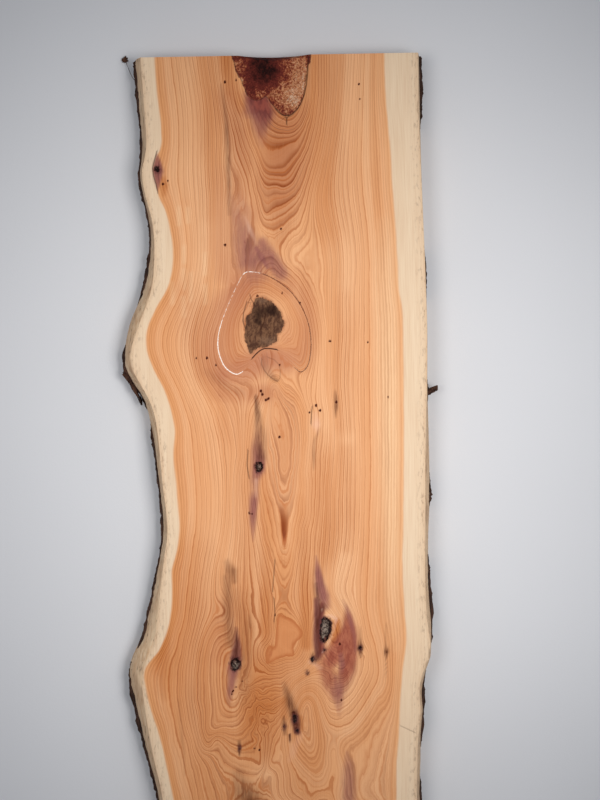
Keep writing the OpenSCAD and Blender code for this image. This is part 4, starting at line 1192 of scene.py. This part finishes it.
for side in ("left", "right"):
    cad_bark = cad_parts["bark_" + side]
    bark = bpy.data.objects.new("loose_bark_" + side, cad_bark.data.copy())
    bark.data.name = bark.name
    bpy.context.scene.collection.objects.link(bark)
    take_up(bark)
    bpy.ops.object.mode_set(mode="EDIT")
    bpy.ops.mesh.select_all(action="SELECT")
    bpy.ops.mesh.remove_doubles(threshold=0.00001)
    bpy.ops.mesh.subdivide(number_cuts=3)
    bpy.ops.object.mode_set(mode="OBJECT")
    bark_place = place_of(bark.data)
    # which strip each corner belongs to: corners that an edge joins share the lowest number
    joins = np.empty(2 * len(bark.data.edges), int)
    bark.data.edges.foreach_get("vertices", joins)
    one_end, other_end = joins.reshape(-1, 2).T
    strip, before = np.arange(len(bark_place)), None
    while before is None or (strip != before).any():
        before = strip.copy()
        lowest = np.minimum(strip[one_end], strip[other_end])
        np.minimum.at(strip, one_end, lowest)
        np.minimum.at(strip, other_end, lowest)
        strip = strip[strip]
    # each strip is torn off ragged at its ends and along its upper edge, and thins out there
    for strip_name in np.unique(strip):
        own = np.flatnonzero(strip == strip_name)
        torn = bark_place[own]
        low, high = torn.min(axis=0), torn.max(axis=0)
        if min(high[1] - low[1], high[2] - low[2]) < least_torn:
            continue
        thick = np.array([plank_skin.find_nearest(Vector(point))[3] for point in torn])
        rim_gap = high[2] - torn[:, 2]
        up_mm = np.column_stack([torn[:, 2] / millimetre, np.full(len(own), low[1] / millimetre)])
        along_mm = np.column_stack([torn[:, 1] / millimetre, np.zeros(len(own))])
        for is_torn, end_gap, way, apart in (
            (low[1] > plank_low.y + at_cut_end, torn[:, 1] - low[1], 1, 0),
            (high[1] < plank_high.y - at_cut_end, high[1] - torn[:, 1], -1, 40),
        ):
            if is_torn:
                tear = torn_back(up_mm + apart, 4.5, 3.5, 16, 2, 6, most=11)
                torn[:, 1] += way * tear * np.clip(1 - end_gap / tear_reach, 0, 1)
                rim_gap = np.minimum(rim_gap, end_gap)
        drop = torn_back(along_mm, 2.5, 2.5, 22, 1.8, 7, most=8)
        torn[:, 2] -= drop * np.clip(1 - (high[2] - torn[:, 2]) / drop_reach, 0, 1)
        thick *= np.clip(0.4 + rim_gap / thin_reach, 0, 1)
        for n, point, gap in zip(own, torn, thick):
            seat, outwards, _, _ = plank_skin.find_nearest(Vector(point))
            bark_place[n] = seat + outwards * gap
    # the outer face is cracked into plates that stand off the wood by more or less
    lift_off, way_off = np.zeros(len(bark_place)), np.zeros((len(bark_place), 3))
    for n, point in enumerate(bark_place):
        seat, _, _, gap = plank_skin.find_nearest(Vector(point))
        lift_off[n] = gap
        if gap > seated:
            way_off[n] = (Vector(point) - seat) / gap
    seed_y = bark_rng.uniform(plank_low.y, plank_high.y, plate_count)
    seed_z = bark_rng.uniform(0, plate_top, plate_count)
    plate_lift = bark_rng.uniform(-1.5, 0.5, plate_count)
    flat = bark_place[:, 1:] * plate_squeeze
    reach = np.full(len(bark_place), 1e9)
    next_reach = np.full(len(bark_place), 1e9)
    plate = np.zeros(len(bark_place), int)
    for n, seed in enumerate(np.column_stack([seed_y, seed_z]) * plate_squeeze):
        far = np.hypot(*(flat - seed).T)
        nearer = far < reach
        next_reach = np.where(nearer, reach, np.minimum(next_reach, far))
        plate = np.where(nearer, n, plate)
        reach = np.where(nearer, far, reach)
    crack = np.clip((next_reach - reach) / crack_width, 0, 1)
    stand = plate_lift[plate] * crack - 0.5 * (1 - crack)
    bark_mm = bark_place[:, 1:] / millimetre
    stand += 0.35 * rough(bark_mm, 5) + 0.25 * rough(bark_mm, 2.2)
    loose = np.clip(lift_off / free_from, 0, 1)
    shift = np.maximum(stand * millimetre, least_bark - lift_off) * loose
    moved = bark_place + way_off * shift[:, None]
    moved[:, 1] = np.clip(moved[:, 1], plank_low.y, plank_high.y)
    moved[:, 2] = np.clip(moved[:, 2], 0, board_thickness)
    bark.data.vertices.foreach_set("co", moved.ravel())
    if side == "left":
        # a crumb still hangs from the head end on a strand of bast
        bpy.ops.curve.primitive_bezier_curve_add()
        strand = bpy.context.object
        strand.data.bevel_depth, strand.data.bevel_resolution = strand_thickness, 2
        strand.data.use_fill_caps = True
        for end, place_mm, bend_mm in zip(
            strand.data.splines[0].bezier_points, strand_ends, strand_bends
        ):
            end.handle_left_type = end.handle_right_type = "FREE"
            end.co = Vector(place_mm) * millimetre
            end.handle_left = end.handle_right = end.co + Vector(bend_mm) * millimetre
        bpy.ops.object.convert(target="MESH")
        strand.data.transform(strand.matrix_world)
        strand.matrix_world.identity()
        bpy.ops.mesh.primitive_ico_sphere_add(subdivisions=4, radius=1)
        crumb = bpy.context.object
        lump = place_of(crumb.data)
        lump *= 1 + 0.22 * rough(lump[:, :2] * 9 + lump[:, 2:] * 5, 6)[:, None]
        lump = lump * crumb_size + crumb_at
        lump[:, 2] = np.maximum(lump[:, 2], 0)
        crumb.data.vertices.foreach_set("co", lump.ravel())
        take_up(strand, crumb, bark)
        bpy.ops.object.join()
    bpy.ops.object.mode_set(mode="EDIT")
    bpy.ops.mesh.select_all(action="SELECT")
    bpy.ops.mesh.dissolve_degenerate(threshold=0.00002)
    bpy.ops.object.mode_set(mode="OBJECT")
    bark.data.materials.clear()
    bark.data.materials.append(bark_finish)
    bark.data.polygons.foreach_set("material_index", np.zeros(len(bark.data.polygons), int))
    bark.data.update()
    bpy.ops.object.shade_smooth_by_angle(angle=bark_crease)
    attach(bark, "root")
    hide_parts("bark_" + side)

# The floor the plank lies on: a plain pale grey sheet, well wider than the view.
# It is smooth, a little cloudy in tone, and dull.
floor_size = 12
take_up()
bpy.ops.mesh.primitive_plane_add(size=floor_size, location=(0, 0, 0))
floor = bpy.context.object
floor.name = floor.data.name = "floor"
floor_finish, pale = new_finish("pale_floor")
place = pale.place()
pale_colour = pale.blend(pale.cloud(place, (260, 260, 260), 2), (212, 213, 217), (205, 206, 210))
pale_roughness = pale.rise(pale.cloud(place, (3, 3, 3)), 0, 1, 0.75, 0.85)
pale.coat(pale_colour, pale_roughness, pale.cloud(place, (2, 2, 2)), depth=0.0001, gloss=0.1)
floor.data.materials.append(floor_finish)

# Soft light: an even sky all round, a broad lamp on the right, a weaker one on the left
# and a small one over the tail, where the plank runs on.
sky_colour, sky_strength = (238, 244, 255), 0.25
lamp_colour = (1.0, 0.98, 0.95)
world = bpy.data.worlds.new("even_sky")
bpy.context.scene.world = world
world.use_nodes = True
world.node_tree.nodes["Background"].inputs["Color"].default_value = paint(*sky_colour)
world.node_tree.nodes["Background"].inputs["Strength"].default_value = sky_strength
for name, lamp_at, aim_at, breadth, spread, power in (
    ("right_lamp", (0.46, 0.26, 1.35), (0.03, 0.27, 0), 0.5, 51, 1.32),
    ("left_lamp", (-0.42, 0.36, 1.35), (0.03, 0.27, 0), 0.5, 54, 0.74),
    ("tail_lamp", (0, -0.64, 1.6), (0, -0.64, 0), 0.3, 36, 0.62),
):
    lamp = bpy.data.lights.new(name, "AREA")
    lamp.shape = "SQUARE"
    lamp.size = lamp.size_y = breadth
    lamp.spread = np.radians(spread)
    lamp.energy = power
    lamp.color = lamp_colour
    stand = bpy.data.objects.new(name, lamp)
    bpy.context.scene.collection.objects.link(stand)
    stand.location = lamp_at
    stand.rotation_euler = (Vector(aim_at) - stand.location).to_track_quat("-Z", "Y").to_euler()

# The camera looks straight down on the head half of the plank, turned by one degree,
# from far enough off that the edges hardly lean.
eye_x, eye_y, eye_height, eye_turn = 0.0135, 0.2892, 1.76, -1
eye = bpy.data.cameras.new("eye")
eye.lens, eye.sensor_width = 88.0, 36.0
eye.clip_start, eye.clip_end = 0.05, 50
camera = bpy.data.objects.new("eye", eye)
bpy.context.scene.collection.objects.link(camera)
camera.location = (eye_x, eye_y, board_thickness + eye_height)
camera.rotation_euler = (0, 0, np.radians(eye_turn))
bpy.context.scene.camera = camera
bpy.context.scene.view_settings.view_transform = "Standard"
